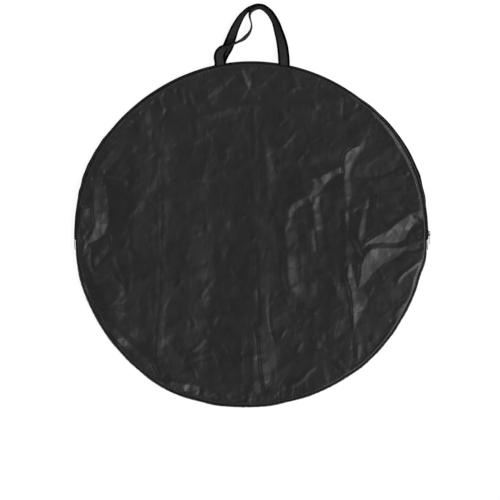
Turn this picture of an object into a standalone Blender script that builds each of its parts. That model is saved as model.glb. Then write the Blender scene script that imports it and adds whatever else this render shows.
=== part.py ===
"""Round fabric bag for one bicycle wheel, laid flat on its back, in metres, +Z up.

The centre of the zip's arc is on the Z axis, the back panel lies on Z = 0 and the handles
point along +Y.  Rings are swept with Screw, pulled in below by hand-chosen shares, and cut
into the pieces that are sewn together.  The handles are webbing: curves with a tilt at each
point, given thickness by Solidify.
"""

import math

import bmesh
import bpy
from mathutils import Matrix, Vector

# Whole bag
BAG_RADIUS = 0.380
BAND_HEIGHT = 0.024
CROWN = 0.006
CHORD_HEIGHT = 0.035
ROUND_STEPS = 96

# Cloth and sewing
FABRIC = 0.0012
PIPING_RADIUS = 0.0020
SEAM_TAPE_WIDTH = 0.011
SEAM_TAPE_THICKNESS = 0.0016
GAP = 0.0003

# Zip
TAPE_THICKNESS = 0.0007
COIL_WIDTH = 0.0029
COIL_THICKNESS = 0.0020
COIL_DEPTH = 0.0012
COIL_CHAMFER = 0.0006
CHAIN_SLIT = 0.0014
TAPE_EDGE_SETBACK = 0.0001
ZIP_END_BELOW = 0.0020
COIL_END_HEIGHT = 0.0030
STOP_LENGTH = 0.0032
STOP_THICKNESS = 0.0024
STOP_WIDTH = 0.0072
END_TAB_LENGTH = 0.023
END_TAB_WIDTH = 0.020
END_TAB_THICKNESS = 0.0010

# Slider and its pull
SLIDER_HEIGHT = 0.012
SLIDER_LENGTH = 0.012
SLIDER_PLATE = 0.0010
SLIDER_WALL = 0.0009
SLIDER_CLEARANCE = 0.0004
SLIDER_EDGE = 0.0005
SLIDER_SHOULDER = 0.0009
SLIDER_CORNER = 0.0018
WEDGE_THICKNESS = 0.0006
WEDGE_LENGTH = 0.0045
BRIDGE_LENGTH = 0.0090
BRIDGE_WIDTH = 0.0024
BRIDGE_RISE = 0.0029
BRIDGE_BAR = 0.0010
BRIDGE_LEG = 0.0019
PULL_BAR_RADIUS = 0.00055
PULL_BAR_RISE = 0.00095
PULL_WIDTH = 0.0066
PULL_THICKNESS = 0.0011
PULL_LENGTH = 0.024
PULL_WINDOW_WIDTH = 0.0034
PULL_WINDOW_LENGTH = 0.0062
PULL_EDGE = 0.0003
PULL_CORNER = 0.0024
PULL_WAIST = 0.0007
PULL_HOLE_RADIUS = 0.0011
PULL_HOLE_INSET = 0.0042

# Webbing of the handles
WEBBING_WIDTH = 0.025
WEBBING_THICKNESS = 0.0015
WEBBING_FLOOR_GAP = 0.0002
WEBBING_EDGE_EASE = 0.0009
HANDLE_AXIS_INSET = 0.0065
HANDLE_STRAIGHT = 0.005
TAIL_LENGTH = 0.016
TAIL_INSET = 0.001
CURVE_STEPS = 5

# Cutters reach this far past what they cut
OVERRUN = 0.002

# Pixels of the photograph: the bag's centre, and how many of them its width covers
CENTRE_PIXEL = (251.3, 239.1)
WIDTH_PIXELS = 355.5

# Below the zip the outline draws in: one share of the radius each 15 degrees, left to right
LOWER_OUTLINE_SHARES = (
    1.000, 0.996, 0.984, 0.979, 0.979, 0.964, 0.953, 0.945, 0.948, 0.959, 0.964, 0.979, 1.000,
)
# The draw-in starts softly over this share of the lower half's angle
SOFT_START_SHARE = 0.06
START_SHARE = 0.008

# Crown of the front panel: share of its radius, share of the crown
CROWN_SHARES = ((1.0, 0.0), (0.93, 0.22), (0.8, 0.5), (0.6, 0.78), (0.35, 0.94), (0.0, 1.0))
# The back panel lies flat and needs few rings
FLAT_SHARES = (1.0, 0.72, 0.38, 0.0)

# Handle routes: pixel x, pixel y, tilt in degrees from lying flat, and for the front one the
# share of the height between the two straps that it is held above resting on the floor
BACK_HANDLE_PIXELS = (
    (222.6, 55.2, 9),
    (227.9, 46.3, 22),
    (230.8, 38.6, 32),
    (236.2, 25.3, 48),
    (244.6, 12.4, 66),
    (252.0, 7.2, 70),
    (260.4, 5.9, 68),
    (267.6, 9.6, 64),
    (274.8, 19.3, 58),
    (278.9, 31.0, 44),
    (282.6, 46.0, 22),
)
FRONT_HANDLE_PIXELS = (
    (219.4, 56.4, 8, 0.95),
    (222.2, 50.2, 36, 0.72),
    (229.0, 45.9, 78, 0.50),
    (238.0, 41.8, 82, 0.28),
    (245.2, 37.3, 72, 0.13),
    (250.0, 31.4, 80, 0.05),
    (251.6, 25.4, 90, 0.03),
    (250.4, 19.8, 88, 0.04),
    (249.6, 15.0, 80, 0.07),
    (251.3, 10.8, 73, 0.12),
    (255.6, 7.8, 70, 0.16),
    (260.5, 7.0, 68, 0.19),
    (266.9, 10.4, 64, 0.20),
    (274.1, 19.8, 58, 0.23),
    (278.4, 31.3, 44, 0.32),
    (282.3, 46.2, 22, 0.68),
)
LEFT_FOOT_PIXEL = 220.2
RIGHT_FOOT_PIXEL = 284.0

# Worked out from the sizes above
PIXEL = 2 * BAG_RADIUS / WIDTH_PIXELS
BACK_SEAM_Z = PIPING_RADIUS
FRONT_SEAM_Z = BACK_SEAM_Z + BAND_HEIGHT
CHAIN_Z = (BACK_SEAM_Z + FRONT_SEAM_Z) / 2
COIL_OUTER = BAG_RADIUS - COIL_DEPTH
COIL_INNER = COIL_OUTER - COIL_THICKNESS
TAPE_OUTER = COIL_INNER - GAP
TAPE_INNER = TAPE_OUTER - TAPE_THICKNESS
SEAM_RADIUS = TAPE_INNER - GAP - PIPING_RADIUS
PANEL_RADIUS = SEAM_RADIUS - PIPING_RADIUS - GAP
FRONT_TOP_Z = FRONT_SEAM_Z + FABRIC / 2
HINGE_Z = FRONT_TOP_Z + CROWN
HANDLE_AXIS_DISTANCE = BAG_RADIUS - HANDLE_AXIS_INSET
STRAP_LOW_Z = WEBBING_FLOOR_GAP
STRAP_HIGH_Z = FRONT_SEAM_Z + GAP
CUT_SIZE = 2 * BAG_RADIUS

COLOURS = {
    "shell": (0.035, 0.036, 0.040),
    "webbing": (0.016, 0.016, 0.018),
    "zip": (0.012, 0.012, 0.013),
    "metal": (0.10, 0.10, 0.11),
}


def clear_scene():
    for thing in list(bpy.data.objects):
        bpy.data.objects.remove(thing, do_unlink=True)


clear_scene()
BAG = bpy.data.collections.new("bike_wheel_bag")
TOOLS = bpy.data.collections.new("cutters")
bpy.context.scene.collection.children.link(BAG)
bpy.context.scene.collection.children.link(TOOLS)


def material(name, kind):
    """One Principled material for one piece."""
    made = bpy.data.materials.new(name)
    made.use_nodes = True
    shader = made.node_tree.nodes["Principled BSDF"]
    shader.inputs["Base Color"].default_value = (*COLOURS[kind], 1.0)
    shader.inputs["Roughness"].default_value = 0.35 if kind == "metal" else 0.75
    shader.inputs["Metallic"].default_value = 0.9 if kind == "metal" else 0.0
    return made


def axis_empty(name, place, parent=None):
    """An empty on a joint's axis, which the pieces that move with it hang from."""
    empty = bpy.data.objects.new(name, None)
    TOOLS.objects.link(empty)
    if parent:
        empty.parent = parent
        empty.location = Vector(place) - parent.matrix_world.translation
    else:
        empty.location = place
    bpy.context.view_layer.update()
    return empty


def add_piece(name, mesh, kind, parent=None):
    """Names a finished mesh, gives it its material and hangs it from its joint's empty."""
    mesh.name = name
    piece = bpy.data.objects.new(name, mesh)
    BAG.objects.link(piece)
    if parent:
        mesh.transform(Matrix.Translation(-parent.matrix_world.translation))
        piece.parent = parent
    mesh.materials.clear()
    mesh.materials.append(material(name, kind))
    mesh.polygons.foreach_set("use_smooth", [True] * len(mesh.polygons))
    mesh.set_sharp_from_angle(angle=math.radians(35))
    return piece


def evaluated(thing):
    """The mesh that a temporary object's modifiers give, with the object removed."""
    graph = bpy.context.evaluated_depsgraph_get()
    mesh = bpy.data.meshes.new_from_object(thing.evaluated_get(graph))
    bpy.data.objects.remove(thing, do_unlink=True)
    return mesh


def outline_share(x, y):
    """How much of its radius a point keeps: all of it above, less below the zip."""
    below = -math.atan2(y, -x) if y < 0 else 0.0
    turn = below / math.pi
    if turn <= START_SHARE or turn >= 1 - START_SHARE:
        return 1.0
    place = turn * (len(LOWER_OUTLINE_SHARES) - 1)
    step = min(int(place), len(LOWER_OUTLINE_SHARES) - 2)
    part = place - step
    part = part * part * (3 - 2 * part)
    share = LOWER_OUTLINE_SHARES[step] * (1 - part) + LOWER_OUTLINE_SHARES[step + 1] * part
    edge = min(turn - START_SHARE, 1 - START_SHARE - turn) / SOFT_START_SHARE
    soft = min(edge, 1.0)
    soft = soft * soft * (3 - 2 * soft)
    return 1 - (1 - share) * soft


def ring(outline, closed=True):
    """Turns an outline of radius and height points once round, then shapes the lower half."""
    mesh = bpy.data.meshes.new("ring")
    count = len(outline)
    pairs = [(i, (i + 1) % count) for i in range(count if closed else count - 1)]
    mesh.from_pydata([(radius, 0, height) for radius, height in outline], pairs, [])
    thing = bpy.data.objects.new("ring", mesh)
    TOOLS.objects.link(thing)
    screw = thing.modifiers.new("round", "SCREW")
    screw.axis = "Z"
    screw.angle = 2 * math.pi
    screw.steps = ROUND_STEPS
    screw.render_steps = ROUND_STEPS
    screw.use_merge_vertices = True
    screw.merge_threshold = 0.00001
    made = evaluated(thing)
    work = bmesh.new()
    work.from_mesh(made)
    bpy.data.meshes.remove(made)
    bmesh.ops.remove_doubles(work, verts=work.verts, dist=0.00001)
    for vert in work.verts:
        share = outline_share(vert.co.x, vert.co.y)
        vert.co.x *= share
        vert.co.y *= share
    return work


def keep(work, point, away):
    """Cuts on a plane, drops the side that the arrow points to and closes the cut."""
    everything = work.verts[:] + work.edges[:] + work.faces[:]
    bmesh.ops.bisect_plane(
        work, geom=everything, dist=0.0000001, plane_co=point, plane_no=away, clear_outer=True
    )
    edges = [edge for edge in work.edges if edge.is_boundary]
    bmesh.ops.holes_fill(work, edges=edges, sides=0)


def finish(work, name, kind, parent=None):
    bmesh.ops.recalc_face_normals(work, faces=work.faces)
    mesh = bpy.data.meshes.new(name)
    work.to_mesh(mesh)
    work.free()
    return add_piece(name, mesh, kind, parent)


def above(work, height):
    keep(work, (0, height, 0), (0, -1, 0))
    return work


def below(work, height):
    keep(work, (0, height, 0), (0, 1, 0))
    return work


def side_of(work, side):
    keep(work, (0, 0, 0), (-side, 0, 0))
    return work


def octagon(radius, height, half_width, half_height, chamfer):
    """A rectangle with cut corners, as radius and height points."""
    x_in = half_width - chamfer
    z_in = half_height - chamfer
    return [
        (radius + half_width, height - z_in),
        (radius + half_width, height + z_in),
        (radius + x_in, height + half_height),
        (radius - x_in, height + half_height),
        (radius - half_width, height + z_in),
        (radius - half_width, height - z_in),
        (radius - x_in, height - half_height),
        (radius + x_in, height - half_height),
    ]


def rectangle(inner, outer, low, high):
    return [(outer, low), (outer, high), (inner, high), (inner, low)]


def piping(height):
    chamfer = PIPING_RADIUS * (2 - math.sqrt(2))
    return octagon(SEAM_RADIUS, height, PIPING_RADIUS, PIPING_RADIUS, chamfer)


def coil(side):
    height = CHAIN_Z + side * (CHAIN_SLIT + COIL_WIDTH) / 2
    middle = (COIL_OUTER + COIL_INNER) / 2
    return octagon(middle, height, COIL_THICKNESS / 2, COIL_WIDTH / 2, COIL_CHAMFER)


def tape(side):
    edge = CHAIN_Z + side * (CHAIN_SLIT / 2 + TAPE_EDGE_SETBACK)
    seam = FRONT_SEAM_Z if side > 0 else BACK_SEAM_Z
    return rectangle(TAPE_INNER, TAPE_OUTER, min(edge, seam), max(edge, seam))


def crowned_panel():
    """Open outline of the front panel, from its top at the axis round to its underside."""
    top = [
        (PANEL_RADIUS * share, FRONT_TOP_Z + CROWN * rise) for share, rise in CROWN_SHARES
    ]
    under = [(radius, height - FABRIC) for radius, height in top]
    return top[::-1] + under


def flat_panel():
    under = [(PANEL_RADIUS * share, 0) for share in FLAT_SHARES]
    return [(radius, FABRIC) for radius, height in under[::-1]] + under


FLAP = axis_empty("opening_flap_axis", (0, CHORD_HEIGHT, HINGE_Z))
HALF_GAP = GAP / 2
FLAP_EDGE = CHORD_HEIGHT + HALF_GAP
FIXED_EDGE = CHORD_HEIGHT - HALF_GAP

# Panels
finish(ring(flat_panel(), closed=False), "back_panel", "shell")
finish(above(ring(crowned_panel(), closed=False), FLAP_EDGE), "front_panel_flap", "shell", FLAP)
finish(below(ring(crowned_panel(), closed=False), FIXED_EDGE), "front_panel_lower", "shell")

# Piping in both seams
finish(ring(piping(BACK_SEAM_Z)), "back_binding", "webbing")
finish(above(ring(piping(FRONT_SEAM_Z)), FLAP_EDGE), "front_binding_upper", "webbing", FLAP)
finish(below(ring(piping(FRONT_SEAM_Z)), FIXED_EDGE), "front_binding_lower", "webbing")

# Bound seam allowances inside the bag
FRONT_TAPE_TOP = FRONT_SEAM_Z - FABRIC / 2 - GAP
front_seam_tape = rectangle(
    PANEL_RADIUS - SEAM_TAPE_WIDTH, PANEL_RADIUS, FRONT_TAPE_TOP - SEAM_TAPE_THICKNESS, FRONT_TAPE_TOP
)
back_seam_tape = rectangle(
    PANEL_RADIUS - SEAM_TAPE_WIDTH, PANEL_RADIUS, FABRIC + GAP, FABRIC + GAP + SEAM_TAPE_THICKNESS
)
finish(ring(back_seam_tape), "back_seam_tape", "webbing")
finish(above(ring(front_seam_tape), FLAP_EDGE), "front_seam_tape_upper", "webbing", FLAP)
finish(below(ring(front_seam_tape), FIXED_EDGE), "front_seam_tape_lower", "webbing")

# Side band of the lower half
gusset = rectangle(TAPE_INNER, TAPE_OUTER, BACK_SEAM_Z, FRONT_SEAM_Z)
finish(below(ring(gusset), -ZIP_END_BELOW - GAP), "lower_gusset", "shell")

# Back half of the zip runs the whole arc
finish(above(ring(tape(-1)), -ZIP_END_BELOW), "back_zip_tape", "zip")
finish(above(ring(coil(-1)), COIL_END_HEIGHT), "back_zip_coil", "zip")

# Front half of the zip opens with the flap, apart from its two ends
finish(above(ring(tape(1)), FLAP_EDGE), "front_zip_tape", "zip", FLAP)
finish(above(ring(coil(1)), FLAP_EDGE), "front_zip_coil", "zip", FLAP)
for side, word in ((1, "right"), (-1, "left")):
    piece = side_of(below(above(ring(tape(1)), -ZIP_END_BELOW), FIXED_EDGE), side)
    finish(piece, f"front_zip_tape_{word}_end", "zip")
    piece = side_of(below(above(ring(coil(1)), COIL_END_HEIGHT), FIXED_EDGE), side)
    finish(piece, f"front_zip_coil_{word}_end", "zip")
    stop = rectangle(
        COIL_INNER, COIL_INNER + STOP_THICKNESS, CHAIN_Z - STOP_WIDTH / 2, CHAIN_Z + STOP_WIDTH / 2
    )
    stop_top = COIL_END_HEIGHT - GAP
    piece = side_of(below(above(ring(stop), stop_top - STOP_LENGTH), stop_top), side)
    finish(piece, f"zip_stop_{word}", "metal")
    tab = rectangle(
        COIL_INNER,
        COIL_INNER + END_TAB_THICKNESS,
        CHAIN_Z - END_TAB_WIDTH / 2,
        CHAIN_Z + END_TAB_WIDTH / 2,
    )
    tab_top = stop_top - STOP_LENGTH - GAP
    piece = side_of(below(above(ring(tab), tab_top - END_TAB_LENGTH), tab_top), side)
    finish(piece, f"zip_end_tab_{word}", "shell")


def block(name, low, high, edge=0, collection=TOOLS):
    """A box between two corners, its edges rounded by a Bevel where asked."""
    work = bmesh.new()
    bmesh.ops.create_cube(work, size=1)
    for vert in work.verts:
        vert.co = Vector(
            low[i] if vert.co[i] < 0 else high[i] for i in range(len(vert.co))
        )
    mesh = bpy.data.meshes.new(name)
    work.to_mesh(mesh)
    work.free()
    thing = bpy.data.objects.new(name, mesh)
    collection.objects.link(thing)
    if edge:
        bevel = thing.modifiers.new("edges", "BEVEL")
        bevel.width = edge
        bevel.segments = 2
        bevel.limit_method = "ANGLE"
    if collection is TOOLS:
        thing.hide_render = True
        thing.display_type = "WIRE"
    return thing


def plate(name, low, high, corner, edge, widen_low=0, widen_high=0, waist=0):
    """A block whose plan corners are rounded and whose two ends may be wider than its middle."""
    work = bmesh.new()
    bmesh.ops.create_cube(work, size=1)
    for vert in work.verts:
        vert.co = Vector(
            low[i] if vert.co[i] < 0 else high[i] for i in range(len(vert.co))
        )
    across = [e for e in work.edges if abs((e.verts[0].co - e.verts[1].co).y) > edge]
    bmesh.ops.subdivide_edges(work, edges=across, cuts=3, use_grid_fill=True)
    length = high[1] - low[1]
    middle = (low[2] + high[2]) / 2
    for vert in work.verts:
        along = (vert.co.y - low[1]) / length
        grow = widen_low * max(1 - 2 * along, 0) + widen_high * max(2 * along - 1, 0)
        grow -= waist * math.sin(math.pi * along)
        vert.co.z += grow if vert.co.z > middle else -grow
    ends = (low[1], high[1])
    corners = [
        e
        for e in work.edges
        if abs((e.verts[0].co - e.verts[1].co).x) > edge
        and min(abs(e.verts[0].co.y - end) for end in ends) < edge / 2
    ]
    bmesh.ops.bevel(
        work, geom=corners, offset=corner, segments=3, profile=0.5, affect="EDGES", clamp_overlap=True
    )
    mesh = bpy.data.meshes.new(name)
    work.to_mesh(mesh)
    work.free()
    thing = bpy.data.objects.new(name, mesh)
    TOOLS.objects.link(thing)
    bevel = thing.modifiers.new("edges", "BEVEL")
    bevel.width = edge
    bevel.segments = 2
    bevel.limit_method = "ANGLE"
    return thing


def combine(thing, other, operation):
    boolean = thing.modifiers.new(operation.lower(), "BOOLEAN")
    boolean.operation = operation
    boolean.solver = "EXACT"
    boolean.object = other


SLIDER_DEG = math.degrees(math.asin(SLIDER_HEIGHT / BAG_RADIUS))
SLIDER_TURN = Matrix.Rotation(math.radians(SLIDER_DEG), 4, "Z")
CHANNEL_LOW = TAPE_INNER - SLIDER_CLEARANCE
CHANNEL_HIGH = COIL_OUTER + SLIDER_CLEARANCE
CHANNEL_HALF = CHAIN_SLIT / 2 + COIL_WIDTH + SLIDER_CLEARANCE
SLIDER_HALF = CHANNEL_HALF + SLIDER_WALL
PLATE_TOP = CHANNEL_HIGH + SLIDER_PLATE
PULL_AXIS_RADIUS = PLATE_TOP + PULL_BAR_RISE


def slider_body():
    """A body with two plates, two side walls, a wedge at the nose and a bridge for the pull."""
    half = SLIDER_LENGTH / 2
    body = plate(
        "slider_blank",
        (CHANNEL_LOW - SLIDER_PLATE, -half, CHAIN_Z - SLIDER_HALF),
        (PLATE_TOP, half, CHAIN_Z + SLIDER_HALF),
        SLIDER_CORNER,
        SLIDER_EDGE,
        widen_low=SLIDER_SHOULDER,
    )
    bridge = block(
        "slider_bridge",
        (PLATE_TOP - SLIDER_PLATE / 2, -BRIDGE_LENGTH / 2, CHAIN_Z - BRIDGE_WIDTH / 2),
        (PLATE_TOP + BRIDGE_RISE, BRIDGE_LENGTH / 2, CHAIN_Z + BRIDGE_WIDTH / 2),
        SLIDER_EDGE,
    )
    combine(body, bridge, "UNION")
    eye_half = BRIDGE_LENGTH / 2 - BRIDGE_LEG
    eye = block(
        "slider_eye",
        (PLATE_TOP, -eye_half, CHAIN_Z - BRIDGE_WIDTH),
        (PLATE_TOP + BRIDGE_RISE - BRIDGE_BAR, eye_half, CHAIN_Z + BRIDGE_WIDTH),
    )
    combine(body, eye, "DIFFERENCE")
    reach = half + OVERRUN
    for side in (1, -1):
        near = CHAIN_Z + side * WEDGE_THICKNESS / 2
        far = CHAIN_Z + side * CHANNEL_HALF
        channel = block(
            "slider_channel",
            (CHANNEL_LOW, -reach, min(near, far)),
            (CHANNEL_HIGH, reach, max(near, far)),
        )
        combine(body, channel, "DIFFERENCE")
        out = CHAIN_Z + side * (SLIDER_HALF + OVERRUN)
        start = CHAIN_Z + side * (CHANNEL_HALF - SLIDER_CLEARANCE)
        slot = block(
            "slider_slot",
            (CHANNEL_LOW, -reach, min(start, out)),
            (TAPE_OUTER + SLIDER_CLEARANCE, reach, max(start, out)),
        )
        combine(body, slot, "DIFFERENCE")
    tail = block(
        "slider_tail",
        (CHANNEL_LOW, -half + WEDGE_LENGTH, CHAIN_Z - WEDGE_THICKNESS),
        (CHANNEL_HIGH, reach, CHAIN_Z + WEDGE_THICKNESS),
    )
    combine(body, tail, "DIFFERENCE")
    mesh = evaluated(body)
    mesh.transform(SLIDER_TURN)
    return mesh


def hole_cutter(place, radius):
    """A round cutter along X."""
    work = bmesh.new()
    turn = Matrix.Translation(place) @ Matrix.Rotation(math.radians(90), 4, "Y")
    bmesh.ops.create_cone(
        work,
        cap_ends=True,
        segments=16,
        radius1=radius,
        radius2=radius,
        depth=2 * OVERRUN + 2 * PULL_THICKNESS,
        matrix=turn,
    )
    mesh = bpy.data.meshes.new("hole")
    work.to_mesh(mesh)
    work.free()
    thing = bpy.data.objects.new("hole", mesh)
    TOOLS.objects.link(thing)
    thing.hide_render = True
    thing.display_type = "WIRE"
    return thing


def pull_tab():
    """A tab with a window: its end bar passes under the slider's bridge."""
    low = PULL_AXIS_RADIUS - PULL_THICKNESS / 2
    tip = PULL_BAR_RADIUS - PULL_LENGTH
    tab = plate(
        "pull_blank",
        (low, tip, CHAIN_Z - PULL_WIDTH / 2),
        (low + PULL_THICKNESS, PULL_BAR_RADIUS, CHAIN_Z + PULL_WIDTH / 2),
        PULL_CORNER,
        PULL_EDGE,
        waist=PULL_WAIST,
    )
    window = block(
        "pull_window",
        (low - OVERRUN, -PULL_BAR_RADIUS - PULL_WINDOW_LENGTH, CHAIN_Z - PULL_WINDOW_WIDTH / 2),
        (low + OVERRUN, -PULL_BAR_RADIUS, CHAIN_Z + PULL_WINDOW_WIDTH / 2),
    )
    combine(tab, window, "DIFFERENCE")
    combine(tab, hole_cutter((low, tip + PULL_HOLE_INSET, CHAIN_Z), PULL_HOLE_RADIUS), "DIFFERENCE")
    mesh = evaluated(tab)
    mesh.transform(SLIDER_TURN)
    return mesh


SLIDER = axis_empty("zip_slider_axis", (0, 0, CHAIN_Z))
PULL = axis_empty("zip_pull_axis", SLIDER_TURN @ Vector((PULL_AXIS_RADIUS, 0, CHAIN_Z)), SLIDER)
add_piece("zip_slider_body", slider_body(), "metal", SLIDER)
add_piece("zip_pull_tab", pull_tab(), "metal", PULL)


def photo_x(pixel):
    return (pixel - CENTRE_PIXEL[0]) * PIXEL


def photo_y(pixel):
    return (CENTRE_PIXEL[1] - pixel) * PIXEL


def resting_height(tilt):
    """Height of the middle of a strap that rests on the floor on its lower edge."""
    rise = WEBBING_WIDTH / 2 * math.sin(math.radians(tilt))
    return STRAP_LOW_Z + rise + WEBBING_THICKNESS / 2


def handle_points(pixels, level):
    """Centre line of a handle, from its left foot to its right foot, with each point's tilt."""
    start = HANDLE_AXIS_DISTANCE + GAP
    foot = resting_height(0) + level
    left = photo_x(LEFT_FOOT_PIXEL)
    right = photo_x(RIGHT_FOOT_PIXEL)
    points = [(left, start, foot, 0), (left, start + HANDLE_STRAIGHT, foot, 0)]
    for x, y, tilt, *held in pixels:
        height = resting_height(tilt) + WEBBING_EDGE_EASE + level * (held[0] if held else 0)
        points.append((photo_x(x), photo_y(y), height, tilt))
    points += [(right, start + HANDLE_STRAIGHT, foot, 0), (right, start, foot, 0)]
    return points


def webbing_loop(points):
    """A strap along the points: a curve's flat extrusion, tilted, then made thick."""
    curve = bpy.data.curves.new("webbing", "CURVE")
    curve.dimensions = "3D"
    curve.twist_mode = "Z_UP"
    curve.extrude = WEBBING_WIDTH / 2
    curve.resolution_u = CURVE_STEPS
    curve.render_resolution_u = CURVE_STEPS
    spline = curve.splines.new("BEZIER")
    spline.bezier_points.add(len(points) - 1)
    for spot, (x, y, z, tilt) in zip(spline.bezier_points, points):
        spot.co = (x, y, z)
        spot.tilt = math.radians(tilt - 90)
        spot.handle_left_type = "AUTO"
        spot.handle_right_type = "AUTO"
    thing = bpy.data.objects.new("webbing", curve)
    TOOLS.objects.link(thing)
    flat = evaluated(thing)
    sheet = bpy.data.objects.new("sheet", flat)
    TOOLS.objects.link(sheet)
    thick = sheet.modifiers.new("thickness", "SOLIDIFY")
    thick.thickness = WEBBING_THICKNESS
    thick.offset = 0
    return evaluated(sheet)


def strap_foot(x, low):
    """The short end of a strap that the seam holds still, its inner edge cut to the seam."""
    width = WEBBING_WIDTH / 2
    outline = [(x - width, HANDLE_AXIS_DISTANCE), (x + width, HANDLE_AXIS_DISTANCE)]
    edge = SEAM_RADIUS + PIPING_RADIUS + GAP
    inner = [(side, math.sqrt(edge * edge - side * side)) for side in (x + width, x, x - width)]
    return prism(outline + inner, low)


def strap_tail(x, low):
    """The sewn-down end of the same strap inside the bag."""
    width = WEBBING_WIDTH / 2
    edge = PANEL_RADIUS - TAIL_INSET
    outer = [(side, math.sqrt(edge * edge - side * side)) for side in (x - width, x, x + width)]
    floor = min(y for side, y in outer) - TAIL_LENGTH
    return prism(outer + [(x + width, floor), (x - width, floor)], low)


def prism(outline, low):
    work = bmesh.new()
    verts = [work.verts.new((x, y, low)) for x, y in outline]
    face = work.faces.new(verts)
    grown = bmesh.ops.extrude_face_region(work, geom=[face])
    raised = [part for part in grown["geom"] if isinstance(part, bmesh.types.BMVert)]
    bmesh.ops.translate(work, verts=raised, vec=(0, 0, WEBBING_THICKNESS))
    return work


LEVEL = STRAP_HIGH_Z - STRAP_LOW_Z
FRONT_TAIL_TOP = FRONT_TAPE_TOP - SEAM_TAPE_THICKNESS - GAP
BACK_TAIL_LOW = FABRIC + GAP + SEAM_TAPE_THICKNESS + GAP
BACK_AXIS = axis_empty("back_handle_axis", (0, HANDLE_AXIS_DISTANCE, STRAP_LOW_Z))
FRONT_AXIS_Z = STRAP_HIGH_Z + WEBBING_THICKNESS
FRONT_AXIS = axis_empty("front_handle_axis", (0, HANDLE_AXIS_DISTANCE, FRONT_AXIS_Z), FLAP)
back_route = handle_points(BACK_HANDLE_PIXELS, 0)
front_route = handle_points(FRONT_HANDLE_PIXELS, LEVEL)
add_piece("back_handle", webbing_loop(back_route), "webbing", BACK_AXIS)
add_piece("front_handle", webbing_loop(front_route), "webbing", FRONT_AXIS)
for word, pixel in (("left", LEFT_FOOT_PIXEL), ("right", RIGHT_FOOT_PIXEL)):
    place = photo_x(pixel)
    finish(strap_foot(place, STRAP_HIGH_Z), f"front_handle_foot_{word}", "webbing", FLAP)
    finish(strap_foot(place, STRAP_LOW_Z), f"back_handle_foot_{word}", "webbing")
    front_low = FRONT_TAIL_TOP - WEBBING_THICKNESS
    finish(strap_tail(place, front_low), f"front_handle_tail_{word}", "webbing", FLAP)
    finish(strap_tail(place, BACK_TAIL_LOW), f"back_handle_tail_{word}", "webbing")

bpy.context.view_layer.update()
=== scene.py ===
import math

import bpy
import numpy as np
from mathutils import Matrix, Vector
from mathutils.geometry import delaunay_2d_cdt

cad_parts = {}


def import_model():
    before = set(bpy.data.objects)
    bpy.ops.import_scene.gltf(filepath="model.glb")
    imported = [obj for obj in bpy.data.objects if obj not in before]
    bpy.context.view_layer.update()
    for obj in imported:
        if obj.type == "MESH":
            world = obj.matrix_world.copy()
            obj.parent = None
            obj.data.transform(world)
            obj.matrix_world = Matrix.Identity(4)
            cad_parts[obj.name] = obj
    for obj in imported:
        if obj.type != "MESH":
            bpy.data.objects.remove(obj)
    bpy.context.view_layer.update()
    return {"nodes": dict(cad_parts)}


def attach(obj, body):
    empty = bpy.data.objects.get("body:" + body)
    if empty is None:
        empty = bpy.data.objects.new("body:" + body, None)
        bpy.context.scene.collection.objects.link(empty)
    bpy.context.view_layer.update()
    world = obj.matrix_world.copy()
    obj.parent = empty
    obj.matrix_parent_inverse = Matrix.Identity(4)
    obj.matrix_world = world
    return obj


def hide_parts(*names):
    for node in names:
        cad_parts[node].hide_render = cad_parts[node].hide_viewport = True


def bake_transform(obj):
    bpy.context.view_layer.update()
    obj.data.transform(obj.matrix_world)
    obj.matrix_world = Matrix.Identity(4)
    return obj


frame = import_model()

# Everything is in metres, in the frame of the CAD. The zip's arc is centred on the Z axis.

# ---- sizes shared with the CAD
BAG_RADIUS = 0.380
BACK_SEAM_Z = 0.0020
FRONT_SEAM_Z = 0.0260
CHAIN_Z = 0.0140
PIPING_RADIUS = 0.0020
SEAM_RADIUS = 0.3735
PANEL_RADIUS = 0.3712
FRONT_RIM_RADIUS = 0.3736
FRONT_TOP_Z = 0.0266
PANEL_CROWN = 0.0020
COIL_RADIUS = 0.3778
COIL_END_HEIGHT = 0.0030
# A tape ends this far behind its coil, and bends to it within this share of its width
COIL_STANDOFF = 0.0010
TAPE_KNEE = 0.62
# Tapes and side band are sewn on this far outside the seam's circle
PIPING_IN = 0.0012
BAND_BELLY = 0.0026
WEBBING_WIDTH = 0.025
WEBBING_THICKNESS = 0.0015
HANDLE_AXIS_DISTANCE = 0.3735
STRAP_LOW_Z = 0.0002
STRAP_HIGH_Z = 0.0263
WEBBING_EDGE_EASE = 0.0009
GAP = 0.0003

# Bodies that a piece spans, or the one it follows
FLAP_AND_BAG = ("bag", "opening_flap")
ONLY_BAG = ("bag",)

# ---- sizes of the scene alone
CLOTH_THICKNESS = 0.0008
STRIP_HALF = 0.0003  # half the thickness of the tapes and of the side band
TAPE_RISE = 0.0009  # from the chain's middle to the edge of each tape
ALLOWANCE_WIDTH = 0.0107
ALLOWANCE_HALF = 0.0007  # half its thickness
FRONT_COUNT = 321
BACK_COUNT = 151
BACK_FACE_Z = 0.0010 + 0.0002
BACK_RUFFLE_LIMIT = 0.0016
BACK_RUFFLE_EASE = 0.012

# ---- the photograph's pixels
CENTRE_PIXEL = (251.3, 239.1)
PIXEL = 2 * BAG_RADIUS / 355.5

# Below the zip the outline draws in: one share of the radius each 15 degrees, left to right
LOWER_OUTLINE_SHARES = (
    1.000, 0.997, 0.987, 0.981, 0.982, 0.965, 0.953, 0.947, 0.951, 0.961, 0.967, 0.979, 1.000,
)
START_SHARE = 0.008
SOFT_START_SHARE = 0.06

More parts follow.
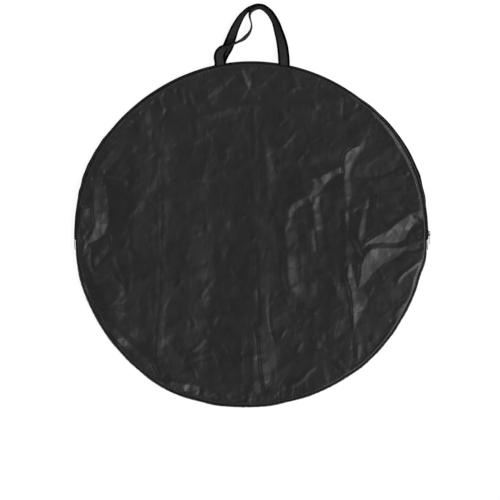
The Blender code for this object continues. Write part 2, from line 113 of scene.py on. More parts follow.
# How far the back seam and the front seam stray from their circles: degrees, millimetres
BACK_SWAY = (
    (0, 0), (4, 0.4), (9, 4.2), (15, 8.2), (22, 11.2), (30, 11.6), (38, 10.8), (46, 8.6), (53, 5.6),
    (60, 5.2), (70, 5.2), (80, 5.0), (92, 5.0), (104, 3.6), (112, 2.2), (122, 1.4), (130, 2.2), (140, 5.4),
    (148, 8.4), (157, 9.8), (164, 7.8), (171, 4.6), (176, 0.8), (180, 0), (270, 0), (360, 0),
)
FRONT_SWAY = (
    (0, 0), (8, 1.0), (15, 3.0), (22, 4.5), (30, 5.6), (38, 6.2), (46, 5.0), (53, 3.4), (60, 3.0), (70, 3.0),
    (80, 2.8), (92, 2.8), (104, 1.6), (112, 0.4), (122, -0.4), (130, 0.4), (140, 2.8), (148, 4.2), (157, 4.4),
    (164, 3.8), (171, 2.4), (176, 0.6), (180, 0), (270, 0), (360, 0),
)
CHAIN_SWAY_SHARE = 0.2

# Stitches: length, pitch and radius of the thread
SEAM_STITCH = (0.0027, 0.0036, 0.00028)
TAB_STITCH = (0.0020, 0.0027, 0.00024)
BOX_STITCH = (0.0021, 0.0028, 0.00026)

# How wide the panel's slope down to its seam is: degrees, millimetres
RIM_SLOPE_WIDTH = (
    (0, 2.2), (12, 3.0), (20, 6.0), (34, 7.6), (44, 6.0), (49, 2.0), (55, 1.0), (104, 1.0), (114, 2.6),
    (128, 2.6), (136, 1.2), (165, 1.4), (180, 1.4), (196, 1.4), (206, 2.2), (232, 2.4), (240, 1.6),
    (244, 1.4), (251, 1.4), (257, 1.4), (285, 1.2), (295, 2.6), (345, 2.6), (352, 1.6), (360, 2.2),
)
RIM_SLOPE = 0.38
RIM_LIP = 0.0010
RIM_FADE = 0.060
# From the edge inwards the gathers rise over the first length, stay up to the second and fade over
# the third. The folds begin at FOLD_MARGIN and most of the slope's width, and rise over FOLD_EASE
GATHER_RISE, GATHER_END, GATHER_FADE = 0.0020, 0.004, 0.009
FOLD_MARGIN = 0.0012
FOLD_EASE = 0.0050
# How high the gathers along the seam stand: degrees, millimetres
RIM_GATHERS = (
    (0, 0.08), (10, 0.10), (15, 0.34), (26, 0.34), (34, 0.08), (110, 0.12), (120, 0.26), (165, 0.28),
    (176, 0.15), (190, 0.10), (215, 0.12), (228, 0.26), (238, 0.10), (300, 0.10), (330, 0.16), (360, 0.08),
)


def world(points):
    """Pixels of the photograph as metres on the bag."""
    points = np.array(points, float)
    out = points.copy()
    out[:, 0] = (points[:, 0] - CENTRE_PIXEL[0]) * PIXEL
    out[:, 1] = (CENTRE_PIXEL[1] - points[:, 1]) * PIXEL
    return out


def smooth(t):
    t = np.clip(t, 0, 1)
    return t * t * (3 - 2 * t)


def outline_share(theta):
    """How much of its radius the bag keeps at an angle: all of it above, less below the zip."""
    turned = np.mod(theta, 2 * math.pi)
    turn = np.clip((turned - math.pi) / math.pi, 0, 1)
    place = turn * (len(LOWER_OUTLINE_SHARES) - 1)
    step = np.minimum(place.astype(int), len(LOWER_OUTLINE_SHARES) - 2)
    part = smooth(place - step)
    shares = np.array(LOWER_OUTLINE_SHARES)
    share = shares[step] * (1 - part) + shares[step + 1] * part
    edge = np.minimum(turn - START_SHARE, 1 - START_SHARE - turn) / SOFT_START_SHARE
    return np.where(turned < math.pi, 1.0, 1 - (1 - share) * smooth(edge))


def sway(theta, table):
    """A table of degrees and millimetres, read smoothly at any angle, in metres."""
    degrees, millimetres = np.array(table, float).T
    turned = np.degrees(np.mod(theta, 2 * math.pi))
    step = np.clip(np.searchsorted(degrees, turned, side="right") - 1, 0, len(degrees) - 2)
    part = smooth((turned - degrees[step]) / (degrees[step + 1] - degrees[step]))
    return (millimetres[step] * (1 - part) + millimetres[step + 1] * part) / 1000


def front_edge(theta, radius):
    return (radius + sway(theta, FRONT_SWAY)) * outline_share(theta)


def back_edge(theta, radius):
    return (radius + sway(theta, BACK_SWAY)) * outline_share(theta)


def chain_edge(theta, radius):
    """The zip's chain follows the sway of its two seams a little."""
    stray = CHAIN_SWAY_SHARE * (sway(theta, FRONT_SWAY) + sway(theta, BACK_SWAY))
    return (radius + stray) * outline_share(theta)


# ---- materials
def new_material(name):
    made = bpy.data.materials.new(name)
    made.use_nodes = True
    return made, made.node_tree.nodes["Principled BSDF"]


def add_node(kind, inputs=None, tree=None, **settings):
    """A node in a tree, by default that of its linked inputs. Inputs go by name or number."""
    inputs = inputs or {}
    linked = [key for key, value in inputs.items() if isinstance(value, bpy.types.NodeSocket)]
    tree = tree or inputs[linked[0]].id_data
    node = tree.nodes.new(kind)
    for key, value in settings.items():
        setattr(node, key, value)
    for key, value in inputs.items():
        if key in linked:
            tree.links.new(value, node.inputs[key])
        else:
            node.inputs[key].default_value = value
    return node


def maths(operation, a, b=0.0, c=0.0):
    return add_node("ShaderNodeMath", {0: a, 1: b, 2: c}, operation=operation).outputs[0]


def metric_place(shader):
    """Where a point lies on its cloth, in metres, from the piece's own map."""
    uv = add_node("ShaderNodeUVMap", tree=shader.id_data, uv_map="cloth").outputs[0]
    split = add_node("ShaderNodeSeparateXYZ", {0: uv})
    return uv, split.outputs[0], split.outputs[1]


def noise(place, scale, detail=3.0, roughness=0.55, distortion=0.0):
    inputs = {"Vector": place, "Scale": scale, "Detail": detail, "Roughness": roughness}
    return add_node("ShaderNodeTexNoise", {**inputs, "Distortion": distortion}).outputs["Fac"]


def between(factor, low, high):
    """A value that runs from low to high with a factor."""
    return add_node("ShaderNodeMapRange", {"Value": factor, "To Min": low, "To Max": high}).outputs[0]


def colours(factor, first, second):
    made = add_node("ShaderNodeMix", {"Factor": factor}, data_type="RGBA")
    for socket, colour in zip((s for s in made.inputs if s.type == "RGBA"), (first, second)):
        socket.default_value = (*colour, 1.0)
    return next(s for s in made.outputs if s.type == "RGBA")


def bump(height, distance, strength, normal=None):
    inputs = {"Height": height, "Distance": distance, "Strength": strength}
    if normal:
        inputs["Normal"] = normal
    return add_node("ShaderNodeBump", inputs).outputs[0]


def wave(value, period):
    """A sine of a length in metres, from 0 to 1."""
    turned = maths("MULTIPLY", value, 2 * math.pi / period)
    return maths("MULTIPLY_ADD", maths("SINE", turned), 0.5, 0.5)


def ridged(place, scale, turn, stretch):
    """Noise folded at its middle, so that it has thin wrinkles that run one way."""
    inputs = {"Vector": place, "Rotation": (0, 0, turn), "Scale": (1, stretch, 1)}
    folded = noise(add_node("ShaderNodeMapping", inputs).outputs[0], scale, 2.5, 0.55, 0.6)
    off = maths("ABSOLUTE", maths("SUBTRACT", folded, 0.5))
    return maths("MULTIPLY", maths("MINIMUM", off, 0.16), 6.0)


def finish_shader(shader, colour, rough, normal, gloss=None):
    for socket, result in (("Base Color", colour), ("Roughness", rough), ("Normal", normal)):
        shader.id_data.links.new(result, shader.inputs[socket])
    if gloss is not None:
        shader.inputs["Specular IOR Level"].default_value = gloss


def cloth_material(name, first, second, rough, weave, weave_bump, crumple_bump, gloss):
    """Woven polyester: over-and-under threads, slubs, faint crumples and uneven gloss."""
    made, shader = new_material(name)
    place, u, v = metric_place(shader)
    threads = maths("MULTIPLY", wave(maths("ADD", u, v), weave), wave(maths("SUBTRACT", u, v), weave))
    threads = maths("MULTIPLY_ADD", noise(place, 900, 2.0), 0.4, threads)
    here = between(noise(place, 13, 2.0), -0.9, 1.7)
    crumple = maths("ADD", ridged(place, 26, 0.80, 0.36), ridged(place, 33, -0.70, 0.40))
    crumple = maths("MULTIPLY", crumple, maths("MAXIMUM", here, 0.1))
    crumple = maths("MULTIPLY_ADD", noise(place, 90, 4.0, 0.6), 0.8, crumple)
    normal = bump(threads, weave_bump, 0.5, bump(crumple, crumple_bump, 0.6))
    colour = colours(noise(place, 9, 3.0), first, second)
    spread = between(noise(place, 30, 4.0), rough - 0.07, rough + 0.07)
    finish_shader(shader, colour, spread, normal, gloss)
    return made


def ribbed_material(name, face, edge, half_width, rib, rough):
    """Webbing: slanted ribs that meet in rows of chevrons, painted shade in the grooves between the ribs, and
    darker edges.
    """
    made, shader = new_material(name)
    place, u, v = metric_place(shader)
    row = half_width / 4
    zigzag = maths("PINGPONG", u, row)
    ribs = wave(maths("ADD", v, maths("MULTIPLY", zigzag, 0.8)), rib)
    height = maths("MULTIPLY_ADD", wave(u, row), 0.35, ribs)
    height = maths("MULTIPLY_ADD", noise(place, 1500, 2.0), 0.5, height)
    inputs = {"Value": maths("ABSOLUTE", u), "From Min": half_width * 0.46, "From Max": half_width * 0.66}
    edge_mask = add_node("ShaderNodeMapRange", inputs, interpolation_type="SMOOTHSTEP").outputs[0]
    tone_and_groove_shade = between(noise(place, 330, 3.0, 0.7), -0.85, 1.35)
    # Random tone, plus painted shade: the colour darkens in the grooves between the ribs, where the bump is
    # low
    tone_and_groove_shade = maths("MULTIPLY_ADD", maths("SUBTRACT", 1.0, ribs), 0.45, tone_and_groove_shade)
    colour = colours(maths("MAXIMUM", edge_mask, tone_and_groove_shade), face, edge)
    spread = between(ribs, rough + 0.1, rough - 0.05)
    finish_shader(shader, colour, spread, bump(height, 0.00022, 0.7), 0.02)
    return made


def knit_material(name, first, second, column, rough):
    """Knitted zip tape: fine columns along the zip, with stitches across them."""
    made, shader = new_material(name)
    place, u, v = metric_place(shader)
    height = maths("MULTIPLY", wave(u, column), wave(v, column * 0.7))
    height = maths("MULTIPLY_ADD", noise(place, 1200, 2.0), 0.4, height)
    colour = colours(noise(place, 45, 4.0), first, second)
    spread = between(height, rough + 0.08, rough - 0.05)
    finish_shader(shader, colour, spread, bump(height, 0.00016, 0.7), 0.02)
    return made


def solid_material(name, first, second, rough, grain, metallic=0.0, coat=0.0):
    """Nylon or enamel: an even skin with faint mottling, dulled spots and small dents."""
    made, shader = new_material(name)
    where = add_node("ShaderNodeTexCoord", tree=shader.id_data).outputs["Object"]
    fine = noise(where, grain * 6, 3.0)
    colour = colours(noise(where, grain, 4.0), first, second)
    spread = between(fine, rough - 0.08, rough + 0.12)
    finish_shader(shader, colour, spread, bump(fine, 0.00005, 0.4))
    shader.inputs["Metallic"].default_value = metallic
    shader.inputs["Coat Weight"].default_value = coat
    return made


# Two colours, roughness, the weave's period, the relief of the weave and of the crumples, gloss
SHELL, SIDE, INNER, BINDING, PIPING = (cloth_material(*row) for row in (
    ("black_polyester", (0.0032, 0.0033, 0.0035), (0.0052, 0.0053, 0.0056),
     0.36, 0.0011, 3e-5, 28e-5, 0.25),
    ("black_polyester_side", (0.0040, 0.0040, 0.0043), (0.0058, 0.0058, 0.0062),
     0.46, 0.0011, 6e-5, 30e-5, 0.07),
    ("coated_inside", (0.030, 0.030, 0.032), (0.040, 0.040, 0.042), 0.46, 0.0011, 4e-5, 30e-5, 0.35),
    ("black_binding", (0.0026, 0.0026, 0.0028), (0.0042, 0.0042, 0.0045), 0.78, 0.0009, 12e-5, 30e-5, 0.02),
    ("black_piping", (0.0028, 0.0028, 0.0030), (0.0044, 0.0044, 0.0047), 0.50, 0.0009, 8e-5, 20e-5, 0.06),
))
WEBBING = ribbed_material(
    "black_webbing", (0.0380, 0.0380, 0.0385), (0.0007, 0.0007, 0.0008), WEBBING_WIDTH / 2, 0.0021, 0.80
)
ZIP_TAPE = knit_material("black_zip_tape", (0.0028, 0.0028, 0.0030), (0.0044, 0.0044, 0.0048), 0.0008, 0.80)
ZIP_COIL = solid_material("black_nylon_coil", (0.0035, 0.0035, 0.0038), (0.0060, 0.0060, 0.0065), 0.40, 300)
THREAD = solid_material("black_thread", (0.010, 0.010, 0.011), (0.018, 0.018, 0.019), 0.60, 900)
ENAMEL = solid_material("black_enamel", (0.011, 0.011, 0.012), (0.028, 0.028, 0.029), 0.34, 420, 0.35, 0.3)


# ---- mesh helpers
def put(name, data):
    thing = bpy.data.objects.new(name, data)
    bpy.context.scene.collection.objects.link(thing)
    return thing


def add_mesh(name, points, faces, materials, cloth, kinds=None):
    """A finished piece. cloth gives each point's place on its cloth, kinds each face's material."""
    mesh = bpy.data.meshes.new(name)
    points = np.asarray(points, float).reshape(-1, 3)
    faces = np.asarray(faces, int)
    mesh.vertices.add(len(points))
    mesh.vertices.foreach_set("co", points.ravel())
    mesh.loops.add(faces.size)
    mesh.loops.foreach_set("vertex_index", faces.ravel())
    mesh.polygons.add(len(faces))
    mesh.polygons.foreach_set("loop_start", np.arange(len(faces)) * faces.shape[1])
    mesh.update(calc_edges=True)
    mesh.validate()
    if cloth is not None:
        layer = mesh.uv_layers.new(name="cloth")
        order = np.empty(len(mesh.loops), int)
        mesh.loops.foreach_get("vertex_index", order)
        layer.data.foreach_set("uv", np.asarray(cloth, float)[order].ravel())
    for made in materials if isinstance(materials, (list, tuple)) else [materials]:
        mesh.materials.append(made)
    if kinds is not None:
        mesh.polygons.foreach_set("material_index", kinds)
    mesh.polygons.foreach_set("use_smooth", [True] * len(mesh.polygons))
    mesh.set_sharp_from_angle(angle=math.radians(50))
    thing = put(name, mesh)
    return thing


def finish_piece(made, nodes, bodies):
    """Hides the solids that a piece replaces and hangs the piece on the body that it rides on; a piece that
    joins two bodies is only left in place.
    """
    if nodes:
        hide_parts(*nodes)
    if len(bodies) == 2:
        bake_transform(made)
    else:
        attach(made, *bodies)


def polar(theta, radii, heights):
    """Points round the bag. theta is a column of angles, radii and heights have a row for each."""
    return np.stack([radii * np.cos(theta), radii * np.sin(theta), heights], -1)


def lengths_along(line):
    return np.concatenate([[0], np.cumsum(np.linalg.norm(np.diff(line, axis=0), axis=1))])


def read_along(at, run, line):
    """The rows of a line of points, read at any length along it."""
    return np.stack([np.interp(at, run, column) for column in line.T], 1)


def unit(vectors):
    return vectors / np.linalg.norm(vectors, axis=1)[:, None]


def tube_faces(rows, columns, closed_rows=False):
    """Quads of a swept closed section: rows along the path, columns round the section."""
    count = rows if closed_rows else rows - 1
    r = np.repeat(np.arange(count), columns)
    c = np.tile(np.arange(columns), count)
    after = (r + 1) % rows
    right = (c + 1) % columns
    quads = np.stack([r * columns + c, r * columns + right, after * columns + right, after * columns + c], 1)
    if not closed_rows:
        for row, flip in ((0, False), (rows - 1, True)):
            ring = row * columns + np.arange(columns)
            for i in range(columns // 2 - 1):
                quad = [ring[i], ring[columns - 1 - i], ring[columns - 2 - i], ring[i + 1]]
                quads = np.vstack([quads, quad[::-1] if flip else quad])
    return quads


def sweep(name, theta, radii, heights, across, material, slot, nodes, bodies, closed=False):
    """Sweeps a closed section round the bag. across gives its columns' places on their cloth."""
    rows, columns = radii.shape
    along = np.repeat((theta - theta[0]) * BAG_RADIUS, columns)
    cloth = np.stack([np.tile(across, rows), along], 1)
    faces = tube_faces(rows, columns, closed)
    made = add_mesh(name, polar(theta, radii, heights), faces, material, cloth)
    finish_piece(made, nodes, bodies)
    return made


def strip(name, theta, radii, heights, t, width, *settings):
    """A strip with a first and a second layer. t gives its columns' shares of the width."""
    radii, heights = (np.concatenate([near, far[:, ::-1]], 1) for near, far in (radii, heights))
    return sweep(name, theta, radii, heights, np.concatenate([t, t[::-1]]) * width, *settings)


def wobble(theta, random, count, low, high):
    """A sum of random sines round the bag, about 1 high."""
    total = np.zeros_like(theta)
    for turns, phase in zip(random.randint(low, high, count), random.uniform(0, 2 * math.pi, count)):
        total += np.sin(turns * theta + phase)
    return total / math.sqrt(count)


# ---- folds of the front panel
def rounded_line(points, steps=6):
    """A polyline through the same points with its corners rounded."""
    points = np.asarray(points, float)
    if len(points) < 3:
        return points
    padded = np.vstack([2 * points[0] - points[1], points, 2 * points[-1] - points[-2]])
    t = np.linspace(0, 1, steps, endpoint=False)[:, None]
    out = []
    for p0, p1, p2, p3 in zip(padded, padded[1:], padded[2:], padded[3:]):
        curve = p1 + 0.5 * t * (p2 - p0 + t * (2 * p0 - 5 * p1 + 4 * p2 - p3 + t * (3 * (p1 - p2) + p3 - p0)))
        out.append(curve)
    return np.vstack(out + [points[-1:]])


CREST_ROUNDING = 0.0008


def crease(x, y, points, slope, left, right, power=1.2, ends=0.2):
    """Where a fold reaches and how high it stands: a crest with a flank on either side."""
    reach = max(left, right)
    low, high = points.min(0) - reach, points.max(0) + reach
    near = np.nonzero((x > low[0]) & (x < high[0]) & (y > low[1]) & (y < high[1]))[0]
    px, py = x[near], y[near]
    best = np.full(len(near), np.inf)
    side = np.zeros(len(near))
    along = np.zeros(len(near))
    steps = np.diff(points, axis=0)
    lengths = np.hypot(steps[:, 0], steps[:, 1])
    run, total = 0.0, lengths.sum()
    for start, step, length in zip(points, steps, lengths):
        ox, oy = px - start[0], py - start[1]
        t = np.clip((ox * step[0] + oy * step[1]) / length**2, 0, 1)
        distance = np.hypot(ox - t * step[0], oy - t * step[1])
        closer = distance < best
        best = np.where(closer, distance, best)
        side = np.where(closer, step[0] * oy - step[1] * ox, side)
        along = np.where(closer, (run + t * length) / total, along)
        run += length
    away = np.sqrt(best**2 + CREST_ROUNDING**2) - CREST_ROUNDING
    away = np.clip(away / np.where(side > 0, left, right), 0, 1)
    taper = smooth(along / ends) * smooth((1 - along) / ends)
    return near, slope * reach * (1 - away) ** power * taper


# Folds seen in the photograph: the slope in per cent of the wider flank, negative in a valley,
# the reach in pixels of the flank on the left hand and on the right hand of someone who walks
# along the line, how hollow the flanks are, and the line's pixels, x and y by turns
FOLDS = (
    # Broad tilts
    (1.8, 60, 55, 1, 318, 88, 322, 130, 330, 165), (3, 40, 34, 1, 132, 120, 134, 195, 132, 262),
    (3.4, 48, 36, 1, 101, 272, 108, 315, 124, 352), (-1.8, 40, 24, 1, 214, 205, 213, 300, 202, 390),
    # Left edge
    (-3.5, 2, 6, 1.2, 88, 224, 80, 234), (-3.5, 2, 6, 1.2, 92, 230, 83, 240),
    (-4, 2, 6, 1.2, 88, 207, 90, 215, 92.5, 224), (-3.5, 2, 6, 1.2, 89, 250, 83, 257),
    (-8, 3, 6, 1.2, 109, 231, 110, 245, 107, 254, 100, 262, 93, 271),
    (-7.5, 3, 5, 1.2, 92, 245, 91, 262, 94, 273), (-7, 5, 3, 1.2, 90, 268, 98, 273, 112, 273, 117, 278),
    (-9, 3, 5, 1.2, 111, 271, 118, 280, 128, 294), (-8, 3, 5, 1.2, 114, 253, 121, 270, 125, 282, 127, 294),
    (4.5, 8, 9, 1.1, 107, 274, 112, 286, 124, 297), (4, 6, 3, 1.1, 88, 266, 92, 276, 96, 288),
    (6, 2, 3, 1.2, 102, 311, 113, 311, 127, 314),
    (-9, 6, 6, 1.1, 98, 312, 112, 327, 126, 340, 140, 352, 151, 364, 159, 381),
    (-10, 2.5, 2.5, 1.2, 144, 355, 153, 366, 159, 382),
    (2.2, 7, 18, 1, 161, 250, 160, 285, 159, 312, 157, 335, 157, 368),
    (2.2, 7, 5, 1, 162, 138, 163, 200, 162, 262), (-7, 2, 2, 1.2, 161, 150, 161.5, 200, 161, 256),
    (-4.5, 1.5, 3, 1.2, 160, 250, 160, 290, 158, 316, 156, 330, 155, 366),
    (3.5, 2.5, 2.5, 1.2, 168, 297, 161, 312), (-5.5, 12, 14, 1.1, 165, 336, 173, 347, 182, 358, 191, 372),
    (6, 4, 4, 1.2, 186, 365, 192, 359, 205, 354, 216, 351), (5, 3, 4, 1.2, 206, 337, 198, 346, 189, 353),
    (7, 2.5, 2.5, 1.2, 192, 366, 197, 380), (6, 2.5, 2.5, 1.2, 191, 315, 196, 329),
    (3.5, 3, 2.5, 1.2, 207, 316, 215, 330), (4, 3, 4, 1.2, 216, 276, 207, 287, 199, 299),
    (-7, 2.5, 2.5, 1.2, 231, 267, 239, 279), (6, 2.5, 3, 1.2, 219, 343, 227, 354),
    (4, 5, 5, 1.1, 188, 319, 210, 319, 225, 316, 240, 317, 258, 319), (5, 2.5, 2.5, 1.2, 184, 277, 175, 289),
    (5, 3, 3, 1.2, 210, 384, 218, 392, 230, 398),
    # Top and middle
    (-8, 3, 3, 1.2, 249, 70, 252, 80, 251, 89), (7, 3, 3, 1.2, 248, 90, 253, 94, 260, 99),
    (-9, 3, 3, 1.2, 241, 75, 233, 80, 226, 88), (5, 9, 8, 1.1, 206, 74, 208, 90, 210, 108),
    (8, 3.5, 4, 1.2, 187, 88, 190, 98, 193, 106, 201, 113), (7, 4, 4, 1.2, 180, 84, 184, 104),
    (7, 3.5, 4, 1.2, 162, 90, 160, 102, 165, 113), (6, 5, 5, 1.2, 136, 123, 143, 130, 153, 131, 158, 139),
    (4, 8, 4, 1.1, 101, 158, 97, 169), (-5, 3, 3.5, 1.2, 115, 168, 104, 173, 94, 175),
    (7, 3, 7, 1.1, 103, 178, 116, 180, 129, 183), (-6, 3, 3, 1.2, 134, 168, 126, 175, 119, 180),
    (-5, 3, 3, 1.2, 188, 183, 208, 183, 228, 183), (5, 2.5, 2.5, 1.2, 162, 199, 152, 206),
    (5, 2.5, 2.5, 1.2, 138, 207, 129, 216), (-6, 2.5, 2.5, 1.2, 206, 129, 216, 143),
    (-6, 2.5, 2.5, 1.2, 232, 128, 242, 138), (5, 3.5, 3, 1.1, 253, 102, 254, 130, 255, 160),
    (3.2, 8, 7, 1, 264, 136, 267, 170, 266, 202), (3, 7, 6, 1, 263, 134, 264, 146, 268, 158),
    (8, 2.5, 2.5, 1.2, 297, 129, 288, 141, 280, 149), (7, 2.5, 3, 1.2, 308, 148, 301, 157, 294, 162),
    (-8, 2, 2, 1.2, 271, 167, 278, 174), (-7, 2.5, 2.5, 1.2, 280, 127, 287, 121),
    (6, 4.5, 5, 1.1, 290, 66, 294, 80, 297, 92), (5, 4.5, 4, 1.1, 311, 92, 314, 104, 319, 110),
    (-6, 2.5, 2.5, 1.2, 343, 102, 343, 121), (4, 6, 6, 1.1, 283, 170, 297, 172, 313, 175),
    (3.2, 13, 6, 1.1, 186, 120, 215, 113, 245, 105, 275, 106, 300, 113, 324, 123),
    # The middle fold, top to bottom
    (2.2, 9, 4, 1.1, 260, 246, 261, 290, 262, 332), (-7, 2, 2, 1.2, 257, 286, 259, 313),
    (-7, 2.5, 2, 1.2, 268, 298, 270, 325, 276, 349),
    (4, 15, 2.5, 1.1, 259, 333, 260, 352, 262, 370, 266, 392), (-9, 2, 2, 1.2, 254, 328, 258, 348, 258, 363),
    (3.5, 5, 8, 1, 253, 345, 254, 375, 256, 400), (2.5, 6, 5, 1.1, 242, 326, 241, 350, 243, 387),
    (-5, 8, 11, 1, 295, 220, 298, 238, 301, 254), (9, 2, 2.5, 1.1, 294, 308, 305, 310, 318, 314),
    (4, 4, 4, 1.1, 278, 306, 297, 309), (5, 3, 3, 1.2, 306, 268, 313, 277, 321, 288),
    (6, 5, 6, 1.1, 315, 269, 328, 276, 335, 285, 338, 296, 351, 309), (7, 2.5, 2.5, 1.2, 288, 327, 279, 339),
    (6, 3, 3, 1.2, 303, 340, 295, 352), (6, 3, 3, 1.2, 280, 291, 290, 304),
    (10, 3, 5, 1.1, 305, 349, 318, 352, 328, 356, 336, 360, 349, 374),
    (7, 3, 4.5, 1.1, 319, 365, 309, 371, 301, 380, 284, 389), (5, 3.5, 4, 1.2, 310, 336, 321, 348),
    # The zigzag
    (9, 4, 5, 1.3, 345.2, 208, 345.3, 222, 347, 232),
    (6, 6, 8, 1.2, 313, 194, 313.2, 205, 314, 216, 315.5, 226, 316.5, 234),
    (3.4, 13, 9, 1.2, 284, 212, 286, 240, 288, 262, 289, 277, 294, 292, 300, 306),
    (6.5, 11, 6, 1.2, 286, 248, 286.5, 275, 291, 298),
    # Right half
    (-12, 1.8, 2.5, 1.1, 342, 164, 342, 178), (-7, 2, 2, 1.2, 345, 176, 351, 181),
    (4, 8, 4, 1.1, 346, 228, 345, 250, 344, 292), (4, 4, 4, 1.2, 365, 198, 367, 209),
    (-12, 1.8, 2, 1.1, 312.6, 194, 312.6, 204), (-8, 2.5, 2, 1.2, 314, 228, 315, 240, 317, 255),
    (-9, 1.6, 1.6, 1.2, 362, 233, 363, 245), (7, 2, 3, 1.2, 384, 236, 394, 226),
    (-12, 3, 3, 1.1, 412, 215, 415, 219, 420, 220), (-9, 6, 5, 1.1, 424, 222, 414, 225, 408, 233),
    (-8, 3, 3, 1.2, 404, 252, 414, 250, 425, 248), (-7, 2, 2, 1.2, 352, 318, 353, 335, 352, 352),
    (6, 3.5, 4, 1.1, 358, 342, 357, 360), (9, 2.5, 4, 1.1, 420, 261, 411, 268, 401, 276, 395, 287),
    (7, 3, 3, 1.2, 378, 268, 384, 280), (6, 3, 3, 1.2, 401, 306, 394, 317),
    (-2.4, 12, 3, 1.2, 350, 177, 375, 177, 387, 174, 400, 165, 411, 158),
    (-5, 3, 4, 1.2, 361, 188, 372, 197, 388, 207, 402, 215), (-5, 3, 4, 1.2, 376, 204, 392, 210, 408, 210),
    (5, 2.5, 2.5, 1.2, 366, 182, 377, 193),
)

# The largest folds are flat faces between lines of points: pixel x, pixel y and height in
# millimetres by turns
FACES = (
    # Right: a peak from which the faces run up, right and down
    (366, 242.5, 5.6, 380, 234, 4.6, 390, 228.5, 4, 400, 221, 3.2, 411, 213, 2, 424, 209, 0.4),
    (375, 232, 2.9, 387, 225.5, 2.4, 397, 217.5, 1.7, 408, 210, 0.8),
    (369, 244, 4.6, 382, 243, 2.8, 397, 243, 0.6, 405, 240, 0.1), (412, 226, 0.7, 421, 222, 0.6),
    (371, 249, 5.6, 385, 248, 3.7, 400, 248, 1.9, 407, 246, 1),
    (407, 247.5, 0.8, 398, 257, 0.4, 383, 264, 0.7, 373, 274, 0.7, 364, 285, 0.6, 358.5, 288, 1),
    (370, 250.5, 5.5, 364, 257, 5.1, 361, 264, 4.6, 360, 275, 3.1, 358, 287, 1.3),
    (360.5, 256, 3.2, 357.5, 265, 2.6, 356.5, 277, 1.4, 355.5, 286, 0.8),
    (412, 262, 0.9, 393, 274, 1.1, 381, 285, 1, 372, 296, 0.5),
    (362.5, 214, 1.3, 359, 228, 4.3, 358, 240, 5.3, 361.5, 251, 4.7),
    (366, 219, 0.8, 365, 231, 2.7, 365, 240, 3.8), (350, 218, 0.6, 349, 228, 1.1, 350, 240, 1.9, 354, 250, 2),
    (349, 263, 2, 347, 273, 2.6, 348, 282, 3.2, 351, 292, 3.3, 352, 304, 3, 353, 318, 2.2, 353, 335, 1),
    (351, 266, 1.5, 353, 277, 1.4, 356.5, 291, 2.2),
    (344, 274, 1, 345, 284, 0.9, 348, 294, 0.8, 349.5, 306, 0.8, 350, 320, 0.7),
    (368, 298, 0.5, 367, 306, 0.6, 359, 317, 0.9, 356, 326, 0.7),
    # The zigzag
    (360, 145, 0.9, 351, 149, 2.8, 345.5, 153.5, 3.4, 343.8, 160, 3, 343.6, 168, 2.3, 343.6, 176, 1.9, 344.2,
     188, 1.7, 345.8, 198, 1.5, 347.5, 208, 0.6),
    (363, 149, 0.1, 357.5, 156, 0.2, 352.5, 164, 0.2, 350, 172, 0.3, 350, 184, 0.3, 351.5, 196, 0.3),
    (347, 147.5, 0.3, 341.8, 153.5, 0.5, 340.6, 160, 0.6),
    (341, 166, 2, 331, 171.5, 2.4, 322, 176.5, 2.5, 314, 179.5, 2.3, 312.8, 188, 2, 312.8, 196, 1.8),
    (342.4, 172.5, 0.5, 335, 176, 0.3, 328, 181.5, 0.2, 323.5, 187, 0.2, 321.5, 193, 0.2, 319, 203, 0.2),
    (309, 196, 2.2, 300, 199.5, 2.6, 291.5, 204.5, 2.6, 288.5, 211, 2, 288.8, 219, 1.2),
    (311, 201, 0.6, 303, 204.5, 0.4, 296, 209.5, 0.3, 293.5, 214, 0.2, 293, 221, 0.2),
    # Left
    (104, 177, 0.1, 107, 195, -0.9, 109.5, 212, -1.5, 108.5, 224, -1.7, 105, 234, -1.7, 97, 240, -1.1, 88,
     243.5, -0.2), (94, 187, 1.8, 93, 200, 2.5, 93.5, 213, 2.9, 94.5, 225, 2.7, 91, 236, 1.7),
    (90.5, 206, 1.2, 91.5, 215, 1.4, 93, 224, 1.8), (79, 209, 3.4, 85, 209, 2.9, 89, 208.5, 2),
    (80, 222, 3, 84, 234, 2.4), (78, 205, 1.4, 84, 205, 1.3),
    (122, 185, 0.1, 128, 205, 0.4, 126, 224, 0.2, 112, 242, 0, 98, 250, 0, 84, 253, 0.2),
    (124, 136, 1.3, 115, 146, 2.2, 106, 157, 2.2, 99, 168, 1.2),
    (129, 140, 0.2, 122, 152, 0.3, 114, 163, 0.3, 106, 172, 0), (118, 136, 0.5, 109, 146, 0.5, 100, 157, 0.4),
    # Bottom left
    (169, 372, 0.1, 176, 377, 0.2, 189, 381, 0.2, 200, 385.5, 0.2, 211, 391, 0.1),
    (174.5, 380.5, 2.2, 179, 382.5, 3.9, 182, 387.5, 3.8, 184, 391, 3.2), (189, 384.5, 2.3, 192, 391.5, 1.6),
    (205, 393, 0.2, 201, 397, 0.1), (176, 387.5, 0.2, 183, 394.5, 0.1),
    # Top
    (240, 66, 0.6, 241.5, 73, 2.5, 245, 81, 2.5, 248.5, 88, 1),
    (243, 67.5, 0.3, 247, 75, 0.6, 250, 82, 0.5, 251, 89, 0.2), (236, 75, 0.9, 239, 84, 0.8),
    (143, 107, 0.6, 144.5, 118, 2, 148, 127, 1.2), (149, 107, 0.2, 151.5, 118, 0.4, 153, 127, 0.3),
)
# Between these lines the net has points at height 0: their spacing in pixels, and how far they
# keep from the lines
REST_SPACING = 22
REST_DISTANCE = 15

# Drawn at random: how many, the directions of the small creases, and the nets of flat faces by
# their seed, spacing and height
SMALL_CREASES = 260
CREASE_ANGLES = [0.7, -0.75, 1.0, 0.1]
RIM_PUCKERS = 190
SWELLS = 46
BACK_RUFFLES = 150
FACET_NETS = ((5, 0.060, 0.0004), (6, 0.027, 0.00022), (8, 0.014, 0.00014))


def at_angle(radius, turn):
    return np.array([radius * math.cos(turn), radius * math.sin(turn)])


